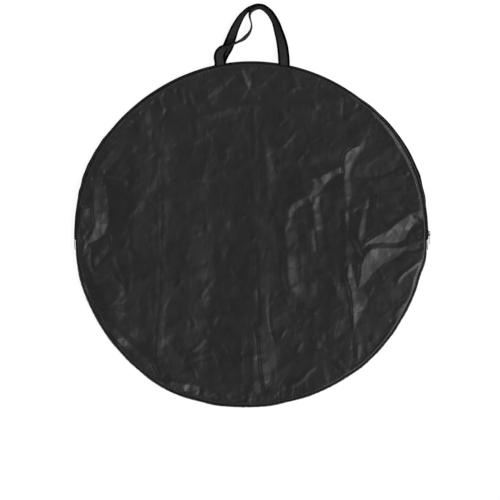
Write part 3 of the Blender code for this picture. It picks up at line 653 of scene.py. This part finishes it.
def random_place(random, angle, length, radius):
    """A place drawn evenly from a disc, and half a stroke of that angle and length."""
    radius *= math.sqrt(random.uniform(0, 1))
    return at_angle(radius, random.uniform(0, 2 * math.pi)), at_angle(1, angle) * length / 2


def front_folds():
    """All folds, from the table and from a seeded draw of small ones."""
    folds = []
    for slope, left, right, power, *line in FOLDS:
        line = rounded_line(world(np.reshape(line, (-1, 2))))
        folds.append((line, slope / 100, left * PIXEL, right * PIXEL, power, 0.2))
    random = np.random.RandomState(7)
    for _ in range(SMALL_CREASES):
        angle = random.choice(CREASE_ANGLES) + random.normal(0, 0.28)
        middle, step = random_place(random, angle, random.uniform(0.012, 0.050), 0.36)
        bend = np.array([-step[1], step[0]]) * random.uniform(-0.25, 0.25)
        line = np.array([middle - step, middle + bend, middle + step])
        slope = random.uniform(0.015, 0.050) * random.choice([-1, 1])
        left, right = (random.uniform(0.003, 0.009) for _ in range(2))
        folds.append((rounded_line(line, 3), slope, left, right, 1.4, 0.5))
    for _ in range(RIM_PUCKERS):
        turn = random.uniform(0, 2 * math.pi)
        gathered = 1.6 if 2.05 < turn < 2.95 else 1.0
        edge = float(front_edge(np.array([turn]), PANEL_RADIUS)[0])
        outer = edge - random.uniform(0.002, 0.006)
        inner = outer - random.uniform(0.008, 0.024)
        lean = random.normal(0, 0.03)
        line = np.array([at_angle(outer, turn), at_angle(inner, turn + lean)])
        slope = gathered * random.uniform(0.02, 0.065) * random.choice([-1, 1])
        reach = (1.5 * gathered - 0.5) * random.uniform(0.003, 0.006)
        folds.append((line, slope, reach, reach, 1.4, 0.45))
    return folds


FRONT_FOLDS = front_folds()


def swells(x, y):
    """The broad, soft unevenness of slack cloth."""
    random = np.random.RandomState(3)
    total = np.zeros_like(x)
    for _ in range(SWELLS):
        cx, cy = random.uniform(-0.36, 0.36, 2)
        width = random.uniform(0.018, 0.055)
        lean = random.uniform(0, math.pi)
        squeeze = random.uniform(0.4, 1.0)
        u = (x - cx) * math.cos(lean) + (y - cy) * math.sin(lean)
        v = (y - cy) * math.cos(lean) - (x - cx) * math.sin(lean)
        total += random.uniform(-0.0006, 0.0006) * np.exp(-(u**2 + (v / squeeze) ** 2) / (2 * width**2))
    return total


def net_height(x, y, spots, heights, edges=()):
    """The height of a net of flat faces through points, with the edges it has to keep."""
    net = delaunay_2d_cdt([Vector(p) for p in spots], list(edges), [], 0, 1e-9)
    order = np.array([origin[0] for origin in net[3]])
    total = np.zeros_like(x)
    for triangle in net[2]:
        a, b, c = (spots[order[i]] for i in triangle)
        low, high = np.minimum(np.minimum(a, b), c), np.maximum(np.maximum(a, b), c)
        near = np.nonzero((x >= low[0]) & (x <= high[0]) & (y >= low[1]) & (y <= high[1]))[0]
        if not len(near):
            continue
        px, py = x[near] - a[0], y[near] - a[1]
        e, f = b - a, c - a
        size = e[0] * f[1] - e[1] * f[0]
        u = (px * f[1] - py * f[0]) / size
        v = (py * e[0] - px * e[1]) / size
        inside = (u >= -1e-9) & (v >= -1e-9) & (u + v <= 1 + 1e-9)
        ha, hb, hc = (heights[order[i]] for i in triangle)
        total[near[inside]] = (ha + u * (hb - ha) + v * (hc - ha))[inside]
    return total


def facets(x, y, seed, spacing, height):
    """Crumpled cloth: flat faces that meet in creases, over a seeded net of points."""
    random = np.random.RandomState(seed)
    ticks = np.arange(-0.42, 0.42 + spacing, spacing)
    gx, gy = np.meshgrid(ticks, ticks)
    spots = np.stack([gx.ravel(), gy.ravel()], 1)
    spots = spots + random.uniform(-0.46, 0.46, (gx.size, 2)) * spacing
    return net_height(x, y, spots, random.normal(0, height, len(spots)))


def large_faces(x, y):
    """The faces of the table, with points at rest between them."""
    spots, edges = [], []
    for line in FACES:
        line = np.reshape(line, (-1, 3)).tolist()
        edges += [(len(spots) + i, len(spots) + i + 1) for i in range(len(line) - 1)]
        spots += line
    spots = np.array(spots, float)
    ticks = np.arange(40, 461, REST_SPACING)
    rest = np.array([(a, b, 0.0) for a in ticks for b in ticks])
    away = np.hypot(*(rest[:, None, i] - spots[None, :, i] for i in (0, 1))).min(1)
    spots = np.vstack([spots, rest[away > REST_DISTANCE]])
    return net_height(x, y, world(spots[:, :2]), spots[:, 2] / 1000, edges)


def front_height(x, y):
    """Height of the front panel's outer face."""
    theta = np.arctan2(y, x)
    edge_radius = front_edge(theta, FRONT_RIM_RADIUS)
    share = np.clip(np.hypot(x, y) / edge_radius, 0, 1)
    inset = edge_radius * (1 - share)
    height = FRONT_TOP_Z + PANEL_CROWN * (1 - share**2) ** 0.8
    width = sway(theta, RIM_SLOPE_WIDTH)
    rise = RIM_SLOPE * np.clip(inset - RIM_LIP, 0, width)
    height += rise * np.exp(-np.maximum(inset - RIM_LIP - width, 0) / RIM_FADE)
    gathers = wobble(theta, np.random.RandomState(9), 14, 270, 430) * sway(theta, RIM_GATHERS)
    height += gathers * smooth(inset / GATHER_RISE) * (1 - smooth((inset - GATHER_END) / GATHER_FADE))
    folded = swells(x, y) + large_faces(x, y)
    folded += sum(facets(x, y, *net) for net in FACET_NETS)
    for line, *settings in FRONT_FOLDS:
        near, rise = crease(x, y, line, *settings)
        folded[near] += rise
    return height + folded * smooth((inset - FOLD_MARGIN - 0.7 * width) / FOLD_EASE)


def disc_grid(count, crowd):
    """A square grid bent to a disc: share of the radius and angle for each point."""
    side = np.linspace(-1, 1, count)
    a, b = np.meshgrid(side, side, indexing="ij")
    wide = np.abs(a) > np.abs(b)
    safe_a = np.where(wide, a, 1)
    safe_b = np.where(wide | (b == 0), 1, b)
    radius = np.where(wide, a, b)
    turn = np.where(wide, math.pi / 4 * b / safe_a, math.pi / 2 - math.pi / 4 * a / safe_b)
    turn = np.where((a == 0) & (b == 0), 0, turn)
    turn = np.where(radius < 0, turn + math.pi, turn)
    share = 1 - (1 - np.abs(radius)) ** crowd
    return share.ravel(), turn.ravel()


def shell_faces(count):
    """Top, bottom and rim faces of a two-layered square grid."""
    i = np.repeat(np.arange(count - 1), count - 1)
    j = np.tile(np.arange(count - 1), count - 1)
    corner = i * count + j
    top = np.stack([corner, corner + count, corner + count + 1, corner + 1], 1)
    layer = count * count
    bottom = top[:, ::-1] + layer
    rim = np.concatenate([
        np.arange(count) * count,
        (count - 1) * count + np.arange(1, count),
        (np.arange(count - 2, -1, -1)) * count + count - 1,
        np.arange(count - 2, 0, -1),
    ])
    after = np.roll(rim, -1)
    side = np.stack([rim, rim + layer, after + layer, after], 1)
    return np.vstack([top, bottom, side]), len(top)


def panel(name, count, edge, rim, height, inner_layer, nodes, bodies):
    """A disc of cloth. inner_layer says which of its layers, 0 above and 1 below, is the lining."""
    share, turn = disc_grid(count, 1.2)
    radius = edge(turn, rim) * share
    x, y = radius * np.cos(turn), radius * np.sin(turn)
    z = height(x, y)
    points = np.vstack([np.stack([x, y, level], 1) for level in (z, z - CLOTH_THICKNESS)])
    faces, top_count = shell_faces(count)
    kinds = np.zeros(len(faces), int)
    kinds[inner_layer * top_count:(inner_layer + 1) * top_count] = 1
    cloth = np.tile(np.stack([x, y], 1), (2, 1))
    made = add_mesh(name, points, faces, [SHELL, INNER], cloth, kinds)
    finish_piece(made, nodes, bodies)
    return made


front_panel = panel(
    "front_panel", FRONT_COUNT, front_edge, FRONT_RIM_RADIUS, front_height, 1,
    ("front_panel_flap", "front_panel_lower"), FLAP_AND_BAG,
)


def back_height(x, y):
    """Height of the back panel's inner face: it lies on the floor, with a few soft ruffles."""
    theta = np.arctan2(y, x)
    inset = back_edge(theta, PANEL_RADIUS) - np.hypot(x, y)
    random = np.random.RandomState(11)
    total = np.zeros_like(x)
    for _ in range(BACK_RUFFLES):
        angle = random.uniform(0, math.pi)
        middle, step = random_place(random, angle, random.uniform(0.03, 0.12), 0.34)
        left = random.uniform(0.006, 0.016)
        right = left * random.uniform(0.6, 1.5)
        line = np.array([middle - step, middle + step])
        near, rise = crease(x, y, line, random.uniform(0.02, 0.06), left, right, ends=0.5)
        total[near] += rise
    return BACK_FACE_Z + np.minimum(total, BACK_RUFFLE_LIMIT) * smooth(inset / BACK_RUFFLE_EASE)


back_panel = panel(
    "back_panel_cloth", BACK_COUNT, back_edge, PANEL_RADIUS, back_height, 0, ("back_panel",), ONLY_BAG
)

# ---- piping, tapes, side band
# Columns of angles: the whole round, the upper half for the tapes, the lower for the side band
FULL = np.linspace(0, 2 * math.pi, 900, endpoint=False)[:, None]
TAPE_ANGLES = np.linspace(-0.0052, math.pi + 0.0052, 620)[:, None]
BAND_ANGLES = np.linspace(math.pi + 0.0068, 2 * math.pi - 0.0068, 620)[:, None]


def rope(name, edge, height, material, nodes, bodies, seed):
    """Piping in a seam: a wrapped cord whose cover puckers along its length."""
    random = np.random.RandomState(seed)
    sides = 12
    turn = np.arange(sides) * 2 * math.pi / sides
    pucker = 1 + 0.045 * wobble(FULL, random, 30, 200, 700)
    centre = edge(FULL, SEAM_RADIUS) + 0.0003 * wobble(FULL, random, 12, 20, 90)
    rise = height + 0.0002 * wobble(FULL, random, 12, 30, 120)
    radius = PIPING_RADIUS * 0.97
    radii = centre + np.cos(turn) * radius * pucker
    heights = rise + np.sin(turn) * radius * pucker
    sweep(name, FULL, radii, heights, turn * PIPING_RADIUS, material, "binding", nodes, bodies, True)


rope("front_piping", front_edge, FRONT_SEAM_Z, PIPING,
     ("front_binding_upper", "front_binding_lower"), FLAP_AND_BAG, 21)
rope("back_piping", back_edge, BACK_SEAM_Z, BINDING, ("back_binding",), ONLY_BAG, 22)


def tape(name, seam_edge, seam_z, chain_z, nodes, bodies, seed):
    """One side of the zip's tape, from its seam to just behind the coil."""
    ruffle = 0.0004 * wobble(TAPE_ANGLES, np.random.RandomState(seed), 16, 60, 200)
    t = np.linspace(0, 1, 11)
    knee = smooth(t / TAPE_KNEE)
    seam = seam_edge(TAPE_ANGLES, SEAM_RADIUS + PIPING_IN)
    chain = chain_edge(TAPE_ANGLES, COIL_RADIUS - COIL_STANDOFF)
    line = seam * (1 - knee) + chain * knee + ruffle * np.sin(math.pi * t)
    rise = seam_z * (1 - t) + chain_z * t + np.zeros_like(line)
    strip(name, TAPE_ANGLES, (line + STRIP_HALF, line - STRIP_HALF), (rise, rise), t,
          abs(seam_z - chain_z), ZIP_TAPE, "zip_tape", nodes, bodies)


tape("front_zip_tape_cloth", front_edge, FRONT_SEAM_Z, CHAIN_Z + TAPE_RISE,
     ("front_zip_tape", "front_zip_tape_left_end", "front_zip_tape_right_end"), FLAP_AND_BAG, 31)
tape("back_zip_tape_cloth", back_edge, BACK_SEAM_Z, CHAIN_Z - TAPE_RISE,
     ("back_zip_tape",), ONLY_BAG, 32)


def side_band():
    """The lower half's side band, with the upright puckers of its seams."""
    random = np.random.RandomState(41)
    theta = BAND_ANGLES
    ends = smooth((theta - theta[0]) / 0.12) * smooth((theta[-1] - theta) / 0.12)
    t = np.linspace(0, 1, 13)
    puckers = 0.0002 * wobble(theta, random, 24, 60, 260)
    waves = 0.0004 * wobble(theta, random, 12, 14, 60)
    low, high = (edge(theta, SEAM_RADIUS + PIPING_IN) for edge in (back_edge, front_edge))
    belly = np.sin(math.pi * t)
    line = low * (1 - t) + high * t
    line += (BAND_BELLY * belly + (puckers * (0.3 + 0.7 * belly) + waves * belly)) * ends
    rise = BACK_SEAM_Z * (1 - t) + FRONT_SEAM_Z * t + np.zeros_like(line)
    width = FRONT_SEAM_Z - BACK_SEAM_Z
    made = strip("side_band", theta, (line + STRIP_HALF, line - STRIP_HALF), (rise, rise), t,
                 width, SIDE, "shell_fabric", ("lower_gusset",), ONLY_BAG)


side_band()


def seam_allowance(name, edge, low, nodes, bodies, seed):
    """The bound edge of a seam inside the bag."""
    t = np.linspace(0, 1, 9)
    fall = 0.0004 * wobble(FULL, np.random.RandomState(seed), 20, 60, 200) * t
    line = edge(FULL, PANEL_RADIUS - 0.0003) - ALLOWANCE_WIDTH * t
    middle = low + 0.0008 + fall
    thick = ALLOWANCE_HALF * np.sqrt(np.clip(1 - (2 * t - 1) ** 8, 0.05, 1))
    strip(name, FULL, (line, line), (middle - thick, middle + thick), t,
          ALLOWANCE_WIDTH, BINDING, "binding", nodes, bodies, True)


seam_allowance("front_seam_allowance", front_edge, 0.0232,
               ("front_seam_tape_upper", "front_seam_tape_lower"), FLAP_AND_BAG, 51)
seam_allowance("back_seam_allowance", back_edge, 0.0015 + 0.0006, ("back_seam_tape",), ONLY_BAG, 52)


# ---- the zip's coil
def template_copies(name, template, faces, places, material, slot, nodes, bodies):
    """Copies of one small shape. places gives each copy's origin and its three axes."""
    points = places[0][:, None, :]
    for i, axis in enumerate(places[1:]):
        points = points + template[None, :, i:i + 1] * axis[:, None, :]
    offsets = np.arange(len(points))[:, None, None] * len(template)
    every_face = (faces[None] + offsets).reshape(-1, faces.shape[1])
    finish_piece(add_mesh(name, points, every_face, material, None), nodes, bodies)


# Stations of a loop: across the chain to its head, half width along the zip, height above the tape
TOOTH_STATIONS = (
    (-0.0021, 0.00020, 0.0006), (-0.0019, 0.00030, 0.0017), (-0.0006, 0.00030, 0.0021),
    (0.0008, 0.00031, 0.0021), (0.0014, 0.00042, 0.0020), (0.0020, 0.00040, 0.0018),
    (0.0023, 0.00024, 0.0012),
)
# Its section: shares of the half width and of the height
TOOTH_SECTION = ((-1, 0.15), (-1, 0.72), (-0.55, 1), (0.55, 1), (1, 0.72), (1, 0.15))
TOOTH_PITCH = 0.00135
TOOTH_SINK = 0.0010
TOOTH = np.array([
    (across, half * along, top * up - TOOTH_SINK)
    for across, half, top in TOOTH_STATIONS for along, up in TOOTH_SECTION
])
TOOTH_FACES = tube_faces(len(TOOTH_STATIONS), len(TOOTH_SECTION))
# How far each row of loops lies from the chain's middle
ROW_OFFSET = 0.00185


def coil(name, side, nodes, bodies):
    """A row of loops seen as rounded wire with a wider head: side 1 in front, -1 behind."""
    start = math.asin(COIL_END_HEIGHT / COIL_RADIUS)
    span = math.pi - 2 * start
    count = int(span * COIL_RADIUS / TOOTH_PITCH)
    theta = start + (np.arange(count) + (0.25 if side > 0 else 0.75)) * span / count
    flat = np.zeros_like(theta)
    radial = np.stack([np.cos(theta), np.sin(theta), flat], 1)
    tangent = np.stack([-np.sin(theta), np.cos(theta), flat], 1)
    origin = radial * chain_edge(theta, COIL_RADIUS)[:, None]
    origin[:, 2] = CHAIN_Z + side * ROW_OFFSET
    places = (origin, np.stack([flat, flat, flat - side], 1), -side * tangent, radial)
    template_copies(name, TOOTH, TOOTH_FACES, places, ZIP_COIL, "zip_coil", nodes, bodies)


coil("front_zip_teeth", 1,
     ("front_zip_coil", "front_zip_coil_left_end", "front_zip_coil_right_end"), FLAP_AND_BAG)
coil("back_zip_teeth", -1, ("back_zip_coil",), ONLY_BAG)


# The coil's two rows of sewing: height from the chain's middle and distance out, thread radius
COIL_SEWING = ((0.0024, 0.00115), (0.0034, 0.00105))
COIL_THREAD = 0.00022


def coil_threads(name, side, bodies):
    """Two rows of sewing that hold the coil to its tape."""
    start = math.asin(COIL_END_HEIGHT / BAG_RADIUS)
    theta = np.linspace(start, math.pi - start, 900)[:, None]
    points, faces = [], []
    columns = 6
    turn = np.arange(columns) * 2 * math.pi / columns
    ripple = 0.00008 * np.sin(theta * COIL_RADIUS / TOOTH_PITCH * math.pi)
    for row, (rise, out) in enumerate(COIL_SEWING):
        radius = chain_edge(theta, COIL_RADIUS + out - 0.0002)
        radii = radius + ripple + COIL_THREAD * np.cos(turn)
        heights = CHAIN_Z + side * rise + COIL_THREAD * np.sin(turn) + np.zeros_like(radii)
        points.append(polar(theta, radii, heights).reshape(-1, 3))
        faces.append(tube_faces(len(theta), columns) + row * len(theta) * columns)
    finish_piece(add_mesh(name, np.vstack(points), np.vstack(faces), THREAD, None), (), bodies)


coil_threads("front_coil_sewing", 1, FLAP_AND_BAG)
coil_threads("back_coil_sewing", -1, ONLY_BAG)


# ---- stitches
def stitch_shape(length, radius):
    """One stitch: a short bent thread that dips into the cloth at both ends."""
    rows = []
    stations = ((-0.5, 0.45, -0.9), (-0.28, 1, 0), (0, 1, 0.25), (0.28, 1, 0), (0.5, 0.45, -0.9))
    for along, size, sink in stations:
        for k in range(6):
            a, b = math.cos(k * math.pi / 3), math.sin(k * math.pi / 3)
            rows.append((along * length, radius * size * a, radius * (size * b + sink)))
    return np.array(rows), tube_faces(len(stations), 6)


def stitches(name, line, normal, size, bodies, slot="binding"):
    """A row of stitches along a line of points, lying on the surface that the normals give."""
    length, pitch, radius = size
    run = lengths_along(line)
    at = np.arange(pitch / 2, run[-1] - pitch / 4, pitch)
    ax = unit(read_along(at + pitch / 4, run, line) - read_along(at - pitch / 4, run, line))
    ay = unit(np.cross(read_along(at, run, normal), ax))
    places = (read_along(at, run, line), ax, ay, np.cross(ax, ay))
    template_copies(name, *stitch_shape(length, radius), places, THREAD, slot, (), bodies)


def all_up(line, up):
    return np.tile((0.0, 0.0, up), (len(line), 1))


def seam_row(name, edge, inset, height, offset, up, bodies):
    theta = np.linspace(0, 2 * math.pi, 1400)
    radius = edge(theta, PANEL_RADIUS) - inset
    x, y = radius * np.cos(theta), radius * np.sin(theta)
    line = np.stack([x, y, height(x, y) + offset], 1)
    stitches(name, line, all_up(line, up), SEAM_STITCH, bodies)


seam_row("front_seam_stitches", front_edge, 0.0014, front_height, 0.00012, 1, FLAP_AND_BAG)
seam_row("back_seam_stitches", back_edge, 0.0026, back_height, -CLOTH_THICKNESS - 0.0001, -1, ONLY_BAG)

# ---- tabs over the zip's ends
TAB_RADIUS = 0.3768 + 0.0007
TAB_HALF_WIDTH = 0.010
# The tab's two ends, as angles round the bag from the level of its centre
TAB_ANGLES = (-0.0030 / COIL_RADIUS * 0.3 - 0.0015, -0.023 / COIL_RADIUS - 0.002)
TAB_SEWING = np.array([(0.08, -0.8), (0.92, -0.8), (0.92, 0.8), (0.08, 0.8), (0.08, -0.8)])


def end_tab(side, word):
    """A folded scrap of cloth sewn over the end of the zip."""
    rows = 34
    theta = np.linspace(*TAB_ANGLES, rows)[:, None]
    if side < 0:
        theta = math.pi - theta
    t = np.linspace(-1, 1, 15)
    ends = np.minimum(np.arange(rows), np.arange(rows)[::-1])[:, None] / 4
    pucker = 0.00035 * wobble(theta, np.random.RandomState(61 + side), 8, 300, 900)
    radius = TAB_RADIUS * outline_share(theta)
    crown = 0.0007 * (1 - t**6) * smooth(ends + 0.35)
    outer = radius + crown + pucker * 0.5 * (1 - t**2)
    inner = np.repeat(radius - 0.0004, len(t), 1)
    z = CHAIN_Z + TAB_HALF_WIDTH * t * (0.90 + 0.10 * smooth(ends))
    strip(f"end_tab_{word}", theta, (outer, inner), (z, z), t, TAB_HALF_WIDTH,
          SHELL, "shell_fabric", (f"zip_end_tab_{word}",), ONLY_BAG)
    share, up = read_along(np.linspace(0, 4, 81), range(5), TAB_SEWING).T
    turn = theta[0] + (theta[-1] - theta[0]) * share
    out = TAB_RADIUS * outline_share(turn) + 0.00068
    line = np.stack([out * np.cos(turn), out * np.sin(turn), CHAIN_Z + TAB_HALF_WIDTH * up], 1)
    normal = np.stack([np.cos(turn), np.sin(turn), np.zeros_like(turn)], 1)
    stitches(f"end_tab_stitches_{word}", line, normal, TAB_STITCH, ONLY_BAG, "shell_fabric")


end_tab(1, "right")
end_tab(-1, "left")


# ---- handles
# The straps' lines as in the CAD: pixel x, pixel y, tilt in degrees from lying flat, and for the
# front one the share of the height between the straps that it is held above resting
BACK_HANDLE_PIXELS = (
    (222.6, 55.2, 9), (227.9, 46.3, 22), (230.8, 38.6, 32), (236.2, 25.3, 48), (244.6, 12.4, 66),
    (252.0, 7.2, 70), (260.4, 5.9, 68), (267.6, 9.6, 64), (274.8, 19.3, 58), (278.9, 31.0, 44),
    (282.6, 46.0, 22),
)
FRONT_HANDLE_PIXELS = (
    (219.4, 56.4, 8, 0.95), (222.2, 50.2, 36, 0.72), (229.0, 45.9, 78, 0.50),
    (238.0, 41.8, 81, 0.28), (245.2, 37.3, 72, 0.13), (250.0, 31.4, 79, 0.05),
    (251.6, 25.4, 84, 0.03), (250.4, 19.8, 84, 0.04), (249.6, 15.0, 79, 0.07),
    (251.3, 10.8, 73, 0.12), (255.6, 7.8, 70, 0.16), (260.5, 7.0, 68, 0.19),
    (266.9, 10.4, 64, 0.20), (274.1, 19.8, 58, 0.23), (278.4, 31.3, 44, 0.32),
    (282.3, 46.2, 22, 0.68),
)
FEET_PIXELS = (220.2, 284.0)
HANDLE_STRAIGHT = 0.005
FEET = [(x - CENTRE_PIXEL[0]) * PIXEL for x in FEET_PIXELS]
LEVEL = STRAP_HIGH_Z - STRAP_LOW_Z


def handle_route(pixels, level):
    """The points of a handle, each with its tilt, from one foot round to the other."""
    start = HANDLE_AXIS_DISTANCE + GAP
    foot = STRAP_LOW_Z + WEBBING_THICKNESS / 2 + level
    left, right = FEET
    points = [(left, start, foot, 0), (left, start + HANDLE_STRAIGHT, foot, 0)]
    for x, y, tilt, *held in pixels:
        rise = WEBBING_WIDTH / 2 * math.sin(math.radians(tilt))
        height = STRAP_LOW_Z + rise + WEBBING_THICKNESS / 2 + WEBBING_EDGE_EASE
        height += level * (held[0] if held else 0)
        points.append(((x - CENTRE_PIXEL[0]) * PIXEL, (CENTRE_PIXEL[1] - y) * PIXEL, height, tilt))
    points += [(right, start + HANDLE_STRAIGHT, foot, 0), (right, start, foot, 0)]
    return points


def ribbon_edges(points):
    """The two edges of a strap along the points, as Blender's own tilted curve gives them."""
    curve = bpy.data.curves.new("route", "CURVE")
    curve.dimensions = "3D"
    curve.twist_mode = "Z_UP"
    curve.extrude = WEBBING_WIDTH / 2
    curve.resolution_u = 16
    spline = curve.splines.new("BEZIER")
    spline.bezier_points.add(len(points) - 1)
    for spot, (x, y, z, tilt) in zip(spline.bezier_points, points):
        spot.co = (x, y, z)
        spot.tilt = math.radians(tilt - 90)
        spot.handle_left_type = "AUTO"
        spot.handle_right_type = "AUTO"
    thing = put("route", curve)
    graph = bpy.context.evaluated_depsgraph_get()
    mesh = bpy.data.meshes.new_from_object(thing.evaluated_get(graph))
    spots = np.array([v.co for v in mesh.vertices])
    bpy.data.objects.remove(thing, do_unlink=True)
    bpy.data.meshes.remove(mesh)
    half = len(spots) // 2
    pairs = (spots[:half], spots[half:])
    if abs(np.linalg.norm(pairs[0][0] - pairs[1][0]) - WEBBING_WIDTH) > WEBBING_WIDTH / 10:
        pairs = (spots[0::2], spots[1::2])
    return pairs


# Where a sewn tail has points, outwards from its seam; then the step along a strap, how far its
# edges curl, and the box sewn on a tail: its ends inside the seam and half its width
TAIL_STATIONS = (-0.0200, -0.0060, -0.0025, 0.0012, 0.0034)
STRAP_STEP = 0.0016
STRAP_CURL = 0.0003
BOX_ENDS = (0.0185, 0.0070)
BOX_HALF = 0.0095


def strap(name, word, pixels, level, tail_z, seam_z, edge):
    """A whole strap: tail in the bag, through the seam, round the handle and back."""
    first, second = ribbon_edges(handle_route(pixels, level))
    if first[0][0] > second[0][0]:
        first, second = second, first
    half = WEBBING_WIDTH / 2
    foot_z = STRAP_LOW_Z + WEBBING_THICKNESS / 2 + level
    rows = list(zip(TAIL_STATIONS, (tail_z, tail_z, (tail_z + seam_z) / 2, seam_z, foot_z)))

    def tail(x, side):
        """One edge of a sewn tail, from its end in the bag to the foot."""
        seam = math.sqrt(float(edge(math.acos(x / SEAM_RADIUS), SEAM_RADIUS)) ** 2 - x**2)
        return np.array([(x + side * half, seam + y, z) for y, z in rows])

    left, right = FEET
    first = np.vstack([tail(left, -1), first, tail(right, 1)[::-1]])
    second = np.vstack([tail(left, 1), second, tail(right, -1)[::-1]])
    run = lengths_along((first + second) / 2)
    at = np.linspace(0, run[-1], int(run[-1] / STRAP_STEP))
    first, second = (read_along(at, run, line) for line in (first, second))
    for line in (first, second) * 3:
        line[1:-1] = (line[:-2] + 2 * line[1:-1] + line[2:]) / 4
    middle = (first + second) / 2
    wide = unit(second - first)
    normal = unit(np.cross(wide, np.gradient(middle, axis=0)))
    t = np.linspace(-1, 1, 13)
    profile = WEBBING_THICKNESS / 2 * (1 - 0.55 * np.abs(t) ** 14)
    cup = STRAP_CURL * (t**2 - 0.4)
    offsets = np.concatenate([t, t[::-1]]) * half
    lifts = np.concatenate([cup + profile, (cup - profile)[::-1]])
    points = middle[:, None, :] + wide[:, None, :] * offsets[None, :, None]
    points = points + normal[:, None, :] * lifts[None, :, None]
    cloth = np.stack([np.tile(offsets, len(at)), np.repeat(at, len(offsets))], 1)
    made = add_mesh(name, points, tube_faces(len(at), len(offsets)), WEBBING, cloth)
    handle = f"{word}_handle"
    ends = [f"{handle}_{kind}_{side}" for side in ("left", "right") for kind in ("foot", "tail")]
    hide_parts(handle, *ends)
    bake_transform(made)


BACK_TAIL_Z = 0.0042
FRONT_TAIL_Z = 0.0222
strap("back_strap", "back", BACK_HANDLE_PIXELS, 0, BACK_TAIL_Z, 0.0018, back_edge)
strap("front_strap", "front", FRONT_HANDLE_PIXELS, LEVEL, FRONT_TAIL_Z, 0.0256, front_edge)


def box_stitch(name, x, height, up, body):
    """The stitched square with a cross that holds a strap's tail."""
    seam = math.sqrt(SEAM_RADIUS**2 - x**2)
    low, high = (seam - inside for inside in BOX_ENDS)
    left, right = x - BOX_HALF, x + BOX_HALF
    corners = np.array([
        (left, low), (right, low), (right, high), (left, high), (left, low),
        (right, high), (left, high), (right, low),
    ])
    flat = read_along(np.linspace(0, len(corners) - 1, 201), range(len(corners)), corners)
    line = np.column_stack([flat, np.full(len(flat), height)])
    stitches(name, line, all_up(line, up), BOX_STITCH, (body,), "webbing")


TAILS = (("back", BACK_TAIL_Z, 1, "bag"), ("front", FRONT_TAIL_Z, -1, "opening_flap"))
for word, place in zip(("left", "right"), FEET):
    for side, tail_z, up, body in TAILS:
        height = tail_z + up * WEBBING_THICKNESS / 2 + up * 0.0001
        box_stitch(f"{side}_tail_stitches_{word}", place, height, up, body)

# ---- metal that the CAD gives
for node in ("zip_slider_body", "zip_pull_tab", "zip_stop_left", "zip_stop_right"):
    thing = frame["nodes"][node]
    for place in thing.material_slots:
        place.material = ENAMEL

# ---- floor, light and camera
FIELD = 1.0689
VIEW_CENTRE = (-0.0028, -0.0233)
CAMERA_DISTANCE = 16.0
SENSOR = 36.0
FLOOR_HALF = 8.0
FLOOR_Z = -0.0003


def make_floor():
    made, shader = new_material("floor_white")
    tree = made.node_tree
    shader.inputs["Base Color"].default_value = (0.88, 0.88, 0.88, 1)
    shader.inputs["Roughness"].default_value = 0.9
    path = add_node("ShaderNodeLightPath", tree=tree)
    seen = maths("MAXIMUM", path.outputs["Is Camera Ray"], path.outputs["Is Glossy Ray"])
    glow = add_node("ShaderNodeEmission", {"Color": (1, 1, 1, 1), "Strength": 1.05}, tree)
    mix = add_node(
        "ShaderNodeMixShader", {0: maths("MULTIPLY", seen, 0.85), 1: shader.outputs[0], 2: glow.outputs[0]}
    )
    tree.links.new(mix.outputs[0], tree.nodes["Material Output"].inputs["Surface"])
    corners = [(x * FLOOR_HALF, y * FLOOR_HALF, FLOOR_Z) for x, y in ((-1, -1), (1, -1), (1, 1), (-1, 1))]
    mesh = bpy.data.meshes.new("floor")
    mesh.from_pydata(corners, [], [(0, 1, 2, 3)])
    mesh.materials.append(made)
    put("floor", mesh)


make_floor()

# Degrees round the bag, degrees above it, distance, size, power
LAMPS = {
    "key": (-24, 63, 30.0, 7.5, 5270),
    "fill": (196, 52, 16.0, 5.6, 500),
    "edge_right": (33, 48, 16.0, 4.0, 900),
    "edge_low_right": (-50, 48, 16.0, 4.0, 450),
    "above_top": (112, 60, 3.0, 1.2, 7),
    "edge_top": (122, 48, 16.0, 4.0, 250),
    "edge_low_left": (240, 48, 16.0, 4.0, 300),
}
for name, (azimuth, elevation, distance, size, power) in LAMPS.items():
    lamp = bpy.data.lights.new(name, "AREA")
    lamp.shape = "DISK"
    lamp.size = size
    lamp.energy = power
    a, e = math.radians(azimuth), math.radians(elevation)
    spot = Vector((math.cos(a) * math.cos(e), math.sin(a) * math.cos(e), math.sin(e))) * distance
    thing = put(name, lamp)
    thing.location = spot
    thing.rotation_euler = (-spot).to_track_quat("-Z", "Y").to_euler()

world_settings = bpy.data.worlds.new("studio")
world_settings.use_nodes = True
bpy.context.scene.world = world_settings
sky = world_settings.node_tree
paths = add_node("ShaderNodeLightPath", tree=sky)
strength = maths("MULTIPLY_ADD", paths.outputs["Is Camera Ray"], 0.86, 0.14)
background = sky.nodes["Background"]
background.inputs["Color"].default_value = (1, 1, 1, 1)
sky.links.new(strength, background.inputs["Strength"])

camera_data = bpy.data.cameras.new("camera")
camera_data.sensor_width = SENSOR
camera_data.lens = SENSOR * CAMERA_DISTANCE / FIELD
camera_data.clip_end = 100
camera = put("camera", camera_data)
camera.location = (*VIEW_CENTRE, CAMERA_DISTANCE + 0.02)
bpy.context.scene.camera = camera
bpy.context.scene.view_settings.view_transform = "Standard"

bpy.context.view_layer.update()
